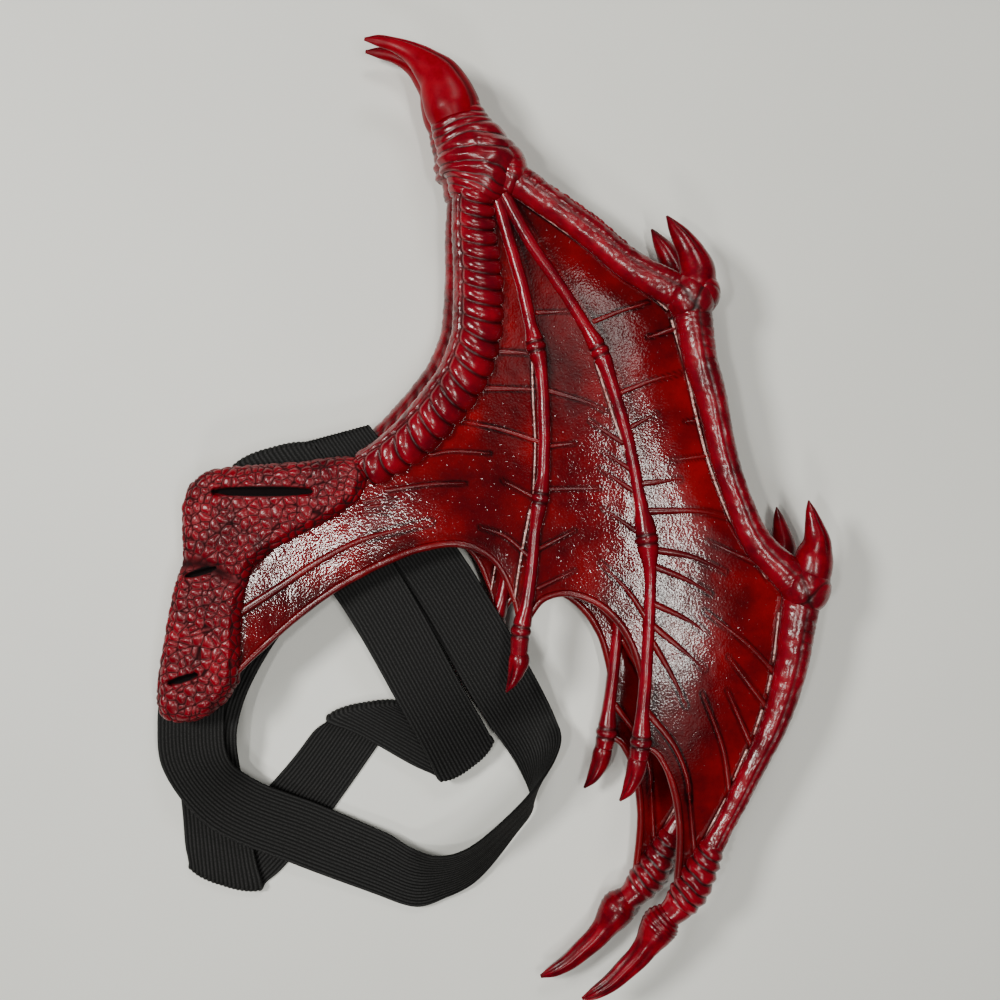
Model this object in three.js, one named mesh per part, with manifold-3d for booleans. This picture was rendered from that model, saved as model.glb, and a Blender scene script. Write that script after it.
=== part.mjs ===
import * as THREE from 'three';
import { mergeVertices } from 'three/addons/utils/BufferGeometryUtils.js';
import Module from 'manifold-3d';

const wasm = await Module();
wasm.setup();

// Driving sizes, millimetres. A wing lies flat: across runs to the right, up runs to the horn.
const wingWidth = 492;
const wingHeight = 707;
const seatHeight = 14; // middle of the casting above its own underside, at the rim of the wing
const crownRise = 8; // how far the middle of the wing arches above that
const crown = { across: 60, up: 55, reach: 60 }; // where the arch is highest, and how far it goes
const clearance = 0.3; // between neighbouring pieces

const padDepth = 28;
const padRoundness = 7;
const slitDepth = 7;
const slitWidth = 4.5;
const armWidth = 36;
const armDepth = 31;
const wristWidth = 50;
const wristDepth = 36.4;
const hornWidth = 40;
const hornDepth = 34;
const sparWidth = 24;
const sparDepth = 21;
const knuckleWidth = 37;
const knuckleDepth = 33;
const clawWidth = 20;
const clawDepth = 17;
const tipKnuckleWidth = 26;
const tipKnuckleDepth = 24;
const tipClawWidth = 25;
const tipClawDepth = 22;
const fingerWidth = 9.4;
const fingerDepth = 11;
const fingerClawWidth = 15;
const fingerClawDepth = 14;
const membraneThickness = 3;
const rimWidth = 6;
const veinWidth = 3.6;
const veinHeight = 1.2;

const strapWidth = 50;
const strapThickness = 1.8;

// The lower wing is tucked a little to the left of the upper one and turned clockwise.
// Its pad stays almost under the upper pad, because the straps hold the two together.
const padTuck = 8;
const wingTuckLeft = 15;
const wingTuckUp = 4;
const wingTurn = THREE.MathUtils.degToRad(2.3);

// The tuck goes from the pad's share to the wing's between these places, in percent across.
const tuckFrom = 10;
const tuckTo = 45;

// The upper wing rests on the thickest piece of the lower one, or on the straps over it.
// A loose fold of strap takes more room than its own thickness.
const layersOverArm = 3;
const layersOverPad = 4.4;
const stackRise = Math.max(wristDepth, knuckleDepth, armDepth + layersOverArm * strapThickness,
  padDepth + layersOverPad * strapThickness) + 2 * clearance;

// Tables. across and up are percent of wingWidth and wingHeight.
// wide is the share of the piece's own width and depth at that section.
const armRows = [
  { across: 46.9, up: 83.2, wide: 0.82 },
  { across: 46.9, up: 79.8, wide: 0.86 },
  { across: 47.4, up: 76.5, wide: 0.95 },
  { across: 47.6, up: 72.2, wide: 1 },
  { across: 47.2, up: 68.3, wide: 1 },
  { across: 45.3, up: 64.6, wide: 1 },
  { across: 42.2, up: 61.5, wide: 0.98 },
  { across: 38.1, up: 58.4, wide: 0.92 },
  { across: 34.2, up: 56.3, wide: 0.82 },
  { across: 31, up: 55, wide: 0.74 },
];
const wristRows = [
  { across: 44, up: 92, wide: 0.78 },
  { across: 45.4, up: 89.8, wide: 0.86 },
  { across: 46.8, up: 87.5, wide: 1 },
  { across: 47.4, up: 85.1, wide: 0.94 },
  { across: 46.9, up: 82.9, wide: 0.7 },
];
const hornRows = [
  { across: 43.9, up: 91.9, wide: 0.96 },
  { across: 43.1, up: 93.8, wide: 0.94 },
  { across: 41.9, up: 95.4, wide: 0.8 },
  { across: 40.1, up: 96.7, wide: 0.6 },
  { across: 38, up: 97.9, wide: 0.4 },
  { across: 35.6, up: 98.7, wide: 0.27 },
  { across: 33, up: 99.2, wide: 0.21 },
  { across: 30.9, up: 99.4, wide: 0.06 },
];
const firstSparRows = [
  { across: 50, up: 86, wide: 1.05 },
  { across: 53.5, up: 84.6, wide: 1 },
  { across: 57.6, up: 82.6, wide: 0.94 },
  { across: 64.3, up: 79.2, wide: 0.92 },
  { across: 70.1, up: 75.9, wide: 0.96 },
  { across: 77, up: 72.8, wide: 1.1 },
];
const secondSparRows = [
  { across: 79.2, up: 71.5, wide: 1.2 },
  { across: 80.4, up: 66.5, wide: 1.05 },
  { across: 82.4, up: 61.9, wide: 0.84 },
  { across: 84, up: 57, wide: 0.74 },
  { across: 86.3, up: 51.9, wide: 0.7 },
  { across: 89.3, up: 47.4, wide: 0.84 },
  { across: 94, up: 44, wide: 1.1 },
];
const thirdSparRows = [
  { across: 95.4, up: 42.5, wide: 1.15 },
  { across: 94.8, up: 38.6, wide: 1.12 },
  { across: 93.9, up: 34.5, wide: 1 },
  { across: 91.6, up: 29, wide: 0.82 },
  { across: 87.8, up: 23.5, wide: 0.68 },
  { across: 84.9, up: 19.4, wide: 0.62 },
  { across: 81.9, up: 15.2, wide: 0.68 },
];
const tipKnuckleRows = [
  { across: 82.2, up: 15.7, wide: 0.66 },
  { across: 80.6, up: 13.5, wide: 0.9 },
  { across: 79, up: 11.5, wide: 1 },
  { across: 77.3, up: 9.9, wide: 0.84 },
  { across: 75.8, up: 8.9, wide: 0.66 },
];
const tipClawRows = [
  { across: 76, up: 9.3, wide: 0.74 },
  { across: 74.9, up: 8.1, wide: 1 },
  { across: 73.5, up: 6.6, wide: 0.92 },
  { across: 71.8, up: 4.9, wide: 0.72 },
  { across: 69.7, up: 3.5, wide: 0.62 },
  { across: 67.4, up: 2, wide: 0.5 },
  { across: 65, up: 0.9, wide: 0.34 },
  { across: 63.2, up: 0.3, wide: 0.08 },
];
const firstClawRows = [
  { across: 79.6, up: 72.9, wide: 1.05 },
  { across: 80.2, up: 75.2, wide: 0.95 },
  { across: 79.4, up: 77, wide: 0.76 },
  { across: 77.8, up: 78.8, wide: 0.54 },
  { across: 76.5, up: 80.1, wide: 0.28 },
  { across: 75.6, up: 81, wide: 0.06 },
];
const secondClawRows = [
  { across: 96.8, up: 43.2, wide: 1.1 },
  { across: 97.9, up: 45.8, wide: 0.95 },
  { across: 98.1, up: 47.6, wide: 0.68 },
  { across: 97.5, up: 49.3, wide: 0.46 },
  { across: 96.9, up: 50.8, wide: 0.24 },
  { across: 96.6, up: 51.8, wide: 0.06 },
];
const innerFingerRows = [
  { across: 50.2, up: 83.6, wide: 1.06 },
  { across: 52.4, up: 78.3, wide: 1 },
  { across: 54.3, up: 73.7, wide: 1 },
  { across: 55.6, up: 69.6, wide: 1.05 },
  { across: 56.3, up: 67.5, wide: 1.5 },
  { across: 57.1, up: 64.8, wide: 1 },
  { across: 57.5, up: 59.9, wide: 1 },
  { across: 57.4, up: 54.6, wide: 1 },
  { across: 56.9, up: 52, wide: 1.35 },
  { across: 56.2, up: 48.9, wide: 0.96 },
  { across: 55.6, up: 44.5, wide: 0.98 },
  { across: 54.9, up: 41, wide: 1.15 },
  { across: 54.1, up: 38.4, wide: 1.5 },
  { across: 53.8, up: 36, wide: 1.3 },
];
const middleFingerRows = [
  { across: 51.3, up: 83.6, wide: 1.06 },
  { across: 55.4, up: 78.3, wide: 1 },
  { across: 59.9, up: 73.7, wide: 1 },
  { across: 63.5, up: 69.7, wide: 1.05 },
  { across: 65.7, up: 67, wide: 1.45 },
  { across: 67.6, up: 63.4, wide: 1 },
  { across: 69.9, up: 57.8, wide: 1 },
  { across: 71.6, up: 51.8, wide: 1.05 },
  { across: 72.6, up: 47.8, wide: 1.8 },
  { across: 73.1, up: 44.3, wide: 1 },
  { across: 72.9, up: 38.6, wide: 0.98 },
  { across: 72.4, up: 33, wide: 1 },
  { across: 72, up: 29.4, wide: 1.15 },
  { across: 71.8, up: 27, wide: 1.65 },
  { across: 71.5, up: 25.3, wide: 1.45 },
];
const innerClawRows = [
  { across: 53.8, up: 36.6, wide: 0.8 },
  { across: 53.8, up: 35.4, wide: 1 },
  { across: 53.4, up: 34.3, wide: 0.84 },
  { across: 52.8, up: 33.2, wide: 0.54 },
  { across: 51.9, up: 32.1, wide: 0.1 },
];
const middleClawRows = [
  { across: 71.5, up: 25.9, wide: 0.8 },
  { across: 71.3, up: 24.8, wide: 0.98 },
  { across: 70.8, up: 23.4, wide: 0.88 },
  { across: 69.9, up: 22, wide: 0.6 },
  { across: 68.7, up: 20.9, wide: 0.1 },
];
const knuckleSpots = [
  { name: 'knuckle_1', across: 79.1, up: 72.5 },
  { name: 'knuckle_2', across: 96.1, up: 42.7 },
];

// The pad's outline, counterclockwise from the end that meets the arm.
const padOutline = [
  { across: 32, up: 54.6 }, { across: 30.4, up: 56.4 }, { across: 24, up: 55.9 },
  { across: 17.2, up: 55.5 }, { across: 10.6, up: 55.2 }, { across: 6.6, up: 54.5 },
  { across: 4.2, up: 52.3 }, { across: 4, up: 49 }, { across: 4.1, up: 45.6 },
  { across: 2.6, up: 42.6 }, { across: 1.6, up: 38.5 }, { across: 0.4, up: 34 },
  { across: 0.2, up: 31 }, { across: 1.4, up: 29.2 }, { across: 4, up: 28.9 },
  { across: 7.4, up: 29.4 }, { across: 10.4, up: 31.1 }, { across: 12.5, up: 33.6 },
  { across: 12.7, up: 37.5 }, { across: 13.2, up: 41.5 }, { across: 14.6, up: 45 },
  { across: 18.7, up: 47.1 }, { across: 24.4, up: 49.2 }, { across: 29.6, up: 51.2 },
];
// lift and inset of the pad's edge, as shares of padDepth and padRoundness
const padEdge = [
  { lift: 0, inset: 1 },
  { lift: 0.2, inset: 0.25 },
  { lift: 0.5, inset: 0 },
  { lift: 0.8, inset: 0.25 },
  { lift: 1, inset: 1 },
];
const padSlits = [
  { from: { across: 8.8, up: 52.7 }, to: { across: 23.6, up: 52.7 }, wide: 1.25 },
  { from: { across: 4.8, up: 44 }, to: { across: 9.3, up: 44.9 }, wide: 0.8 },
  { from: { across: 2.4, up: 33.1 }, to: { across: 6.8, up: 34.1 }, wide: 1 },
];

// Rims, from the left end to the right.
const innerRim = [
  { across: 11.2, up: 33.6 }, { across: 16, up: 36.8 }, { across: 21.6, up: 40.2 },
  { across: 27.5, up: 43.1 }, { across: 33.4, up: 45.3 }, { across: 39.3, up: 46.9 },
  { across: 44.6, up: 47.4 }, { across: 48.4, up: 46.6 }, { across: 51, up: 45 },
  { across: 53, up: 42 }, { across: 54.2, up: 38.8 },
];
const middleRim = [
  { across: 54.8, up: 39.2 }, { across: 57.2, up: 41.6 }, { across: 60.6, up: 42.3 },
  { across: 64.6, up: 41.6 }, { across: 68, up: 39.8 }, { across: 70.4, up: 37.2 },
  { across: 71.8, up: 34 }, { across: 72.3, up: 31 },
];
const outerRim = [
  { across: 71.7, up: 26.6 }, { across: 74, up: 26 }, { across: 75.8, up: 24 },
  { across: 77, up: 21.4 }, { across: 77.6, up: 18.4 }, { across: 77.6, up: 15.5 },
  { across: 77.3, up: 12.8 }, { across: 77.2, up: 10.6 },
];

// Main veins: from one point to another, bowed sideways by a share of their length.
const innerVeins = [
  { from: { across: 14, up: 40.2 }, to: { across: 39.5, up: 49.4 }, bow: 0.12 },
  { from: { across: 36, up: 52.9 }, to: { across: 50, up: 53.6 }, bow: 0.08 },
  { from: { across: 45.2, up: 59.8 }, to: { across: 56.6, up: 57.9 }, bow: -0.06 },
];
const middleVeins = [
  { from: { across: 58, up: 62.9 }, to: { across: 66.6, up: 60.8 }, bow: 0.08 },
  { from: { across: 57.4, up: 56.4 }, to: { across: 66, up: 55 }, bow: 0.14 },
  { from: { across: 65.6, up: 45.6 }, to: { across: 72.4, up: 39.6 }, bow: 0.1 },
];
const outerVeins = [
  { from: { across: 72.8, up: 52 }, to: { across: 85, up: 50.2 }, bow: 0.06 },
  { from: { across: 73.4, up: 46.8 }, to: { across: 83.8, up: 44.6 }, bow: 0.05 },
  { from: { across: 73.2, up: 40.4 }, to: { across: 81.4, up: 36.6 }, bow: 0.05 },
  { from: { across: 72.6, up: 30.6 }, to: { across: 78.8, up: 21.2 }, bow: 0.14 },
  { from: { across: 80.9, up: 40.2 }, to: { across: 91.6, up: 34.4 }, bow: 0.03 },
  { from: { across: 80.9, up: 32 }, to: { across: 85, up: 22 }, bow: 0.12 },
];

// Straps: one row for each line across the strap. turn is that line's direction in plan and
// lean its slope, in degrees; long is its length as a share of strapWidth. high is the height
// of its underside in percent of the stack: 0 on the floor, onPad on the lower pad and 100 at
// the upper wing. A row with a fold turns the strap over there, and its second height is foldHigh.
const onPad = 78;
const firstStrapRows = [
  { across: 18, up: 51.2, high: 78, turn: 0, long: 1, lean: 0 },
  { across: 15.2, up: 56.7, high: 78, foldHigh: 93, turn: 15, long: 1, lean: 0 },
  { across: 31.6, up: 42.2, high: 93, turn: 30, long: 1, lean: 0 },
  { across: 41, up: 30.6, high: 94, turn: 32, long: 0.97, lean: 0 },
  { across: 46.2, up: 23.4, high: 44, foldHigh: 28, turn: 37, long: 1.04, lean: 0 },
  { across: 30.2, up: 29.2, high: 19, foldHigh: 0, turn: 9, long: 1.3, lean: 0 },
  { across: 20.4, up: 19.8, high: 0, turn: -30, long: 1, lean: 0 },
  { across: 7.8, up: 10.2, high: 0, foldHigh: 15, turn: -17, long: 1.2, lean: 0 },
  { across: 6.2, up: 19.6, high: 18, turn: 0, long: 1, lean: 0 },
  { across: 5.8, up: 25.6, high: 76, turn: 6, long: 1, lean: 0 },
  { across: 6.2, up: 29, high: 78, turn: -6, long: 1, lean: 0 },
  { across: 8.8, up: 34.2, high: 78, turn: -32, long: 1, lean: 0 },
  { across: 14.8, up: 40.8, high: 78, turn: -39, long: 1, lean: 0 },
  { across: 22.4, up: 45.6, high: 77, turn: -42, long: 1, lean: 0 },
];
const secondStrapRows = [
  { across: 26.3, up: 58.8, high: 90, turn: 15, long: 1, lean: 0 },
  { across: 30.8, up: 54.4, high: 95, turn: 27, long: 1, lean: 4 },
  { across: 36.4, up: 48.7, high: 84, turn: 30, long: 1, lean: 0 },
  { across: 42.8, up: 42.2, high: 81, turn: 30, long: 1, lean: 0 },
  { across: 51.5, up: 32.1, high: 80, turn: 27, long: 0.98, lean: 0 },
  { across: 54.8, up: 27.8, high: 50, turn: 18, long: 0.94, lean: 0 },
  { across: 57.5, up: 22.7, high: 22, foldHigh: 36, turn: 72, long: 1.4, lean: 0 },
  { across: 51.2, up: 16.2, high: 73, turn: 147, long: 1, lean: 62 },
  { across: 45.7, up: 12.5, high: 60, turn: 115, long: 1, lean: 46 },
  { across: 41.6, up: 11.3, high: 46, turn: 102, long: 1, lean: 34 },
  { across: 37.7, up: 10.9, high: 28, turn: 91, long: 1, lean: 14 },
  { across: 32.2, up: 12.4, high: 22, turn: 74, long: 1, lean: 8 },
  { across: 20.8, up: 15.6, high: 24, turn: 66, long: 1, lean: 0 },
  { across: 9.4, up: 19.4, high: 50, turn: 48, long: 1, lean: 0 },
  { across: 4.8, up: 24, high: 87, turn: 10, long: 1, lean: 0 },
  { across: 4.2, up: 28.5, high: 93, turn: 3, long: 1, lean: 0 },
  { across: 4.8, up: 32.5, high: 93, turn: -5, long: 1, lean: 0 },
];

const latexRed = new THREE.MeshStandardMaterial({ color: '#8f0d16', roughness: 0.32, metalness: 0 });
const membraneRed = new THREE.MeshStandardMaterial({ color: '#6b0a10', roughness: 0.28, metalness: 0 });
const clawRed = new THREE.MeshStandardMaterial({ color: '#a3121b', roughness: 0.35, metalness: 0 });
const blackElastic = new THREE.MeshStandardMaterial({ color: '#1b1b1c', roughness: 0.85, metalness: 0 });

// Height of the casting's middle, an arch that is highest a little above the wing's centre.
function middleHeight(x, y) {
  const acrossOffset = (x / wingWidth * 100 - crown.across) / crown.reach;
  const upOffset = (y / wingHeight * 100 - crown.up) / crown.reach;
  return seatHeight + crownRise * (1 - acrossOffset * acrossOffset - upOffset * upOffset);
}

function spot(row) {
  const x = row.across / 100 * wingWidth;
  const y = row.up / 100 * wingHeight;
  return new THREE.Vector3(x, y, middleHeight(x, y));
}

function geometryOf(points, faces) {
  const geometry = new THREE.BufferGeometry();
  const positions = points.flatMap((point) => [point.x, point.y, point.z]);
  geometry.setAttribute('position', new THREE.Float32BufferAttribute(positions, 3));
  geometry.setIndex(faces.flat());
  return geometry;
}

// Closes a stack of rings, each with the same number of points, into one body.
// The rings run counterclockwise seen from the last ring. An end is a fan of faces
// round its middle, or the given faces of the ring's own points.
function stackRings(rings, endFaces) {
  const sides = rings[0].length;
  const points = rings.flat();
  const faces = [];
  for (let ring = 0; ring + 1 < rings.length; ring += 1) {
    for (let side = 0; side < sides; side += 1) {
      const next = (side + 1) % sides;
      const low = ring * sides;
      const high = low + sides;
      faces.push([low + side, low + next, high + next], [low + side, high + next, high + side]);
    }
  }
  const top = (rings.length - 1) * sides;
  if (endFaces) {
    endFaces.forEach(([a, b, c]) => faces.push([a, c, b], [top + a, top + b, top + c]));
    return geometryOf(points, faces);
  }
  const firstMiddle = new THREE.Vector3();
  const lastMiddle = new THREE.Vector3();
  rings[0].forEach((point) => firstMiddle.addScaledVector(point, 1 / sides));
  rings[rings.length - 1].forEach((point) => lastMiddle.addScaledVector(point, 1 / sides));
  const first = points.push(firstMiddle) - 1;
  const last = points.push(lastMiddle) - 1;
  for (let side = 0; side < sides; side += 1) {
    const next = (side + 1) % sides;
    faces.push([first, next, side], [last, top + side, top + next]);
  }
  return geometryOf(points, faces);
}

// A limb: an oval section swept along its rows. ripple raises every second ring.
function limb(rows, size, extra = 0) {
  const path = new THREE.CatmullRomCurve3(rows.map(spot), false, 'centripetal');
  const rings = [];
  for (let step = 0; step <= size.steps; step += 1) {
    const at = step / size.steps;
    const middle = path.getPoint(at);
    const forward = path.getTangent(at);
    const sideways = new THREE.Vector3(forward.y, -forward.x, 0).normalize();
    const upward = new THREE.Vector3().crossVectors(sideways, forward).normalize();
    const index = at * (rows.length - 1);
    const row = Math.min(Math.floor(index), rows.length - 2);
    const share = THREE.MathUtils.lerp(rows[row].wide, rows[row + 1].wide, index - row);
    const raised = 1 + (step % 2 === 1 ? size.ripple : -size.ripple);
    const halfWidth = Math.max(size.width / 2 * share * raised, 0.6) + extra;
    const halfDepth = Math.max(size.depth / 2 * share * raised, 0.6) + extra;
    if (step === 0) middle.addScaledVector(forward, -extra);
    if (step === size.steps) middle.addScaledVector(forward, extra);
    const ring = [];
    for (let side = 0; side < size.sides; side += 1) {
      const angle = (side / size.sides + (size.lead ?? 0)) * Math.PI * 2;
      ring.push(middle.clone()
        .addScaledVector(sideways, halfWidth * Math.cos(angle))
        .addScaledVector(upward, -halfDepth * Math.sin(angle)));
    }
    rings.push(ring);
  }
  return stackRings(rings);
}

const sizes = {
  arm: { width: armWidth, depth: armDepth, sides: 10, steps: 16, ripple: 0.035 },
  wrist: { width: wristWidth, depth: wristDepth, sides: 10, steps: 8, ripple: 0.04 },
  horn: { width: hornWidth, depth: hornDepth, sides: 8, steps: 9, ripple: 0 },
  spar: { width: sparWidth, depth: sparDepth, sides: 8, steps: 6, ripple: 0 },
  claw: { width: clawWidth, depth: clawDepth, sides: 6, steps: 5, ripple: 0 },
  tipKnuckle: { width: tipKnuckleWidth, depth: tipKnuckleDepth, sides: 8, steps: 8, ripple: 0.05 },
  tipClaw: { width: tipClawWidth, depth: tipClawDepth, sides: 8, steps: 7, ripple: 0 },
  finger: { width: fingerWidth, depth: fingerDepth, sides: 6, steps: 14, ripple: 0 },
  fingerClaw: { width: fingerClawWidth, depth: fingerClawDepth, sides: 6, steps: 4, ripple: 0 },
  vein: { width: veinWidth, depth: membraneThickness + veinHeight * 2, sides: 3, steps: 2, ripple: 0, lead: -0.25 },
};

function pad(extra = 0) {
  const curve = new THREE.CatmullRomCurve3(
    padOutline.map((row) => spot(row).setZ(0)), true, 'centripetal');
  const samples = 30;
  const rings = padEdge.map((level) => {
    const ring = [];
    for (let sample = 0; sample < samples; sample += 1) {
      const at = sample / samples;
      const forward = curve.getTangent(at);
      const outward = new THREE.Vector3(forward.y, -forward.x, 0).normalize();
      ring.push(curve.getPoint(at)
        .addScaledVector(outward, extra - level.inset * padRoundness)
        .setZ(level.lift * padDepth + (level.lift * 2 - 1) * extra));
    }
    return ring;
  });
  const outline = rings[0].map((point) => new THREE.Vector2(point.x, point.y));
  return stackRings(rings, THREE.ShapeUtils.triangulateShape(outline, []));
}

function slit(row) {
  const from = spot(row.from);
  const to = spot(row.to);
  const box = new THREE.BoxGeometry(from.distanceTo(to), slitWidth * row.wide, slitDepth * 2);
  box.rotateZ(Math.atan2(to.y - from.y, to.x - from.x));
  box.translate((from.x + to.x) / 2, (from.y + to.y) / 2, padDepth);
  return box;
}

function knuckle(place, extra = 0) {
  const ball = new THREE.SphereGeometry(1, 10, 6);
  ball.scale(knuckleWidth / 2 + extra, knuckleWidth / 2 + extra, knuckleDepth / 2 + extra);
  const middle = spot(place);
  ball.translate(middle.x, middle.y, middle.z);
  return ball;
}

function solidOf(geometry) {
  geometry.deleteAttribute('normal');
  geometry.deleteAttribute('uv');
  const merged = mergeVertices(geometry, 1e-4);
  return new wasm.Manifold(new wasm.Mesh({
    numProp: 3,
    vertProperties: merged.attributes.position.array,
    triVerts: new Uint32Array(merged.index.array),
  }));
}

function largest(solid) {
  return solid.decompose().sort((one, other) => other.volume() - one.volume())[0];
}

function cutBy(geometry, cutters) {
  let solid = solidOf(geometry);
  cutters.forEach((cutter) => { solid = solid.subtract(cutter); });
  return largest(solid);
}

// The raised rim along a sheet's free edge: distance in from the edge, in shares of rimWidth,
// and how far the sheet has swollen there towards rimWidth.
const rimSteps = [
  { inward: 1.3, raised: 0 },
  { inward: 0.8, raised: 1 },
  { inward: 0, raised: 0.8 },
];

// A sheet of skin spanned by four borders. left and right run away from the wrist, and the
// rim joins their far ends, so the borders share their corners.
function skin(leftRows, rightRows, rimRows, steps) {
  const curves = [leftRows, rightRows, rimRows].map(
    (rows) => new THREE.CatmullRomCurve3(rows.map(spot), false, 'centripetal'));
  const [left, right, rim] = curves;
  const leftEnd = rim.getPointAt(0);
  const rightEnd = rim.getPointAt(1);
  const inside = (along, over) => {
    const bend = rim.getPointAt(over).sub(new THREE.Vector3().lerpVectors(leftEnd, rightEnd, over));
    return new THREE.Vector3()
      .lerpVectors(left.getPointAt(along), right.getPointAt(along), over)
      .addScaledVector(bend, along);
  };
  const lastRow = steps.along + rimSteps.length - 1;
  const placeAt = (row, over) => {
    if (row < steps.along) return { point: inside(row / steps.along, over), thickness: membraneThickness };
    const step = rimSteps[row - steps.along];
    const edge = rim.getPointAt(over);
    const inward = inside((steps.along - 1) / steps.along, over).sub(edge).setZ(0).normalize();
    const point = edge.addScaledVector(inward, step.inward * rimWidth);
    return { point, thickness: THREE.MathUtils.lerp(membraneThickness, rimWidth, step.raised) };
  };
  const points = [];
  const faces = [];
  const columns = steps.over + 1;
  [1, -1].forEach((side) => {
    for (let row = 0; row <= lastRow; row += 1) {
      for (let column = 0; column <= steps.over; column += 1) {
        const { point, thickness } = placeAt(row, column / steps.over);
        points.push(point.setZ(middleHeight(point.x, point.y) + side * thickness / 2));
      }
    }
  });
  const under = points.length / 2;
  for (let row = 0; row < lastRow; row += 1) {
    for (let column = 0; column < steps.over; column += 1) {
      const a = row * columns + column;
      const b = a + 1;
      const c = b + columns;
      const d = a + columns;
      faces.push([a, c, b], [a, d, c], [under + a, under + b, under + c], [under + a, under + c, under + d]);
    }
  }
  const border = [];
  for (let column = 0; column < steps.over; column += 1) border.push(column);
  for (let row = 0; row < lastRow; row += 1) border.push(row * columns + steps.over);
  for (let column = steps.over; column > 0; column -= 1) border.push(lastRow * columns + column);
  for (let row = lastRow; row > 0; row -= 1) border.push(row * columns);
  border.forEach((from, index) => {
    const to = border[(index + 1) % border.length];
    faces.push([from, to, under + to], [from, under + to, under + from]);
  });
  return geometryOf(points, faces);
}

function vein(row) {
  const from = spot(row.from);
  const to = spot(row.to);
  const across = (row.from.across + row.to.across) / 2 - row.bow * (to.y - from.y) / wingWidth * 100;
  const up = (row.from.up + row.to.up) / 2 + row.bow * (to.x - from.x) / wingHeight * 100;
  const rows = [row.from, { across, up }, row.to].map((place) => ({ ...place, wide: 1 }));
  return limb(rows, sizes.vein);
}

function membrane(leftRows, rightRows, rimRows, veinRows, steps, cutters) {
  let solid = solidOf(skin(leftRows, rightRows, rimRows, steps));
  veinRows.forEach((row) => { solid = solid.add(solidOf(vein(row))); });
  cutters.forEach((cutter) => { solid = solid.subtract(cutter); });
  return largest(solid);
}

// The whole wing as a list of named solids, in the wing's own frame with its underside at 0.
function wingPieces() {
  const pieces = [];
  const grown = {};
  const keep = (name, solid, material) => pieces.push({ name, solid, material });
  const addLimb = (name, rows, size, material, neighbours) => {
    const cutters = neighbours.map((neighbour) => grown[neighbour]);
    keep(name, cutBy(limb(rows, size), cutters), material);
    grown[name] = solidOf(limb(rows, size, clearance));
  };

  let padSolid = solidOf(pad());
  padSlits.forEach((row) => { padSolid = padSolid.subtract(solidOf(slit(row))); });
  keep('base_pad', padSolid, latexRed);
  grown.base_pad = solidOf(pad(clearance));
  knuckleSpots.forEach((place) => {
    keep(place.name, solidOf(knuckle(place)), latexRed);
    grown[place.name] = solidOf(knuckle(place, clearance));
  });

  addLimb('wrist', wristRows, sizes.wrist, latexRed, []);
  addLimb('tip_knuckle', tipKnuckleRows, sizes.tipKnuckle, latexRed, []);
  addLimb('arm', armRows, sizes.arm, latexRed, ['wrist', 'base_pad']);
  addLimb('horn', hornRows, sizes.horn, latexRed, ['wrist']);
  addLimb('spar_1', firstSparRows, sizes.spar, latexRed, ['wrist', 'knuckle_1', 'arm']);
  addLimb('spar_2', secondSparRows, sizes.spar, latexRed, ['knuckle_1', 'knuckle_2']);
  addLimb('spar_3', thirdSparRows, sizes.spar, latexRed, ['knuckle_2', 'tip_knuckle']);
  addLimb('tip_claw', tipClawRows, sizes.tipClaw, clawRed, ['tip_knuckle']);
  addLimb('knuckle_claw_1', firstClawRows, sizes.claw, clawRed, ['knuckle_1', 'spar_1']);
  addLimb('knuckle_claw_2', secondClawRows, sizes.claw, clawRed, ['knuckle_2', 'spar_2']);
  addLimb('inner_finger', innerFingerRows, sizes.finger, latexRed, ['wrist', 'arm', 'spar_1']);
  addLimb('middle_finger', middleFingerRows, sizes.finger, latexRed,
    ['wrist', 'arm', 'spar_1', 'inner_finger']);
  addLimb('inner_claw', innerClawRows, sizes.fingerClaw, clawRed, ['inner_finger']);
  addLimb('middle_claw', middleClawRows, sizes.fingerClaw, clawRed, ['middle_finger']);

  const bones = Object.values(grown);
  const padSide = [
    { across: 28, up: 51 }, { across: 18, up: 47.4 }, { across: 13.6, up: 44 }, { across: 12, up: 39 },
  ];
  const outerEdge = [
    ...firstSparRows.slice(0, 5), knuckleSpots[0], ...secondSparRows.slice(1, 6),
    knuckleSpots[1], ...thirdSparRows.slice(1), ...tipKnuckleRows.slice(1, 2), outerRim.at(-1),
  ];
  const innerFingerLine = [...innerFingerRows.slice(0, 12), innerRim.at(-1)];
  keep('inner_membrane', membrane([...armRows.slice(0, 9), ...padSide, innerRim[0]],
    innerFingerLine, innerRim, innerVeins, { along: 8, over: 5 }, bones), membraneRed);
  keep('middle_membrane', membrane([...innerFingerRows.slice(0, 12), middleRim[0]],
    [...middleFingerRows.slice(0, 12), middleRim.at(-1)],
    middleRim, middleVeins, { along: 7, over: 4 }, bones), membraneRed);
  keep('outer_membrane', membrane([...middleFingerRows.slice(0, 13), outerRim[0]],
    outerEdge, outerRim, outerVeins, { along: 8, over: 4 }, bones), membraneRed);
  return pieces;
}

// Slides and turns a point of the lower wing under the upper one. The pad moves least.
function tuck(point) {
  const share = THREE.MathUtils.smoothstep(point.x / wingWidth * 100, tuckFrom, tuckTo);
  const left = THREE.MathUtils.lerp(padTuck, wingTuckLeft, share);
  const turn = wingTurn * share;
  const right = point.x - wingWidth / 2;
  const above = point.y - wingHeight / 2;
  point.x += turn * above - left;
  point.y += wingTuckUp * share - turn * right;
  return point;
}

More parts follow.
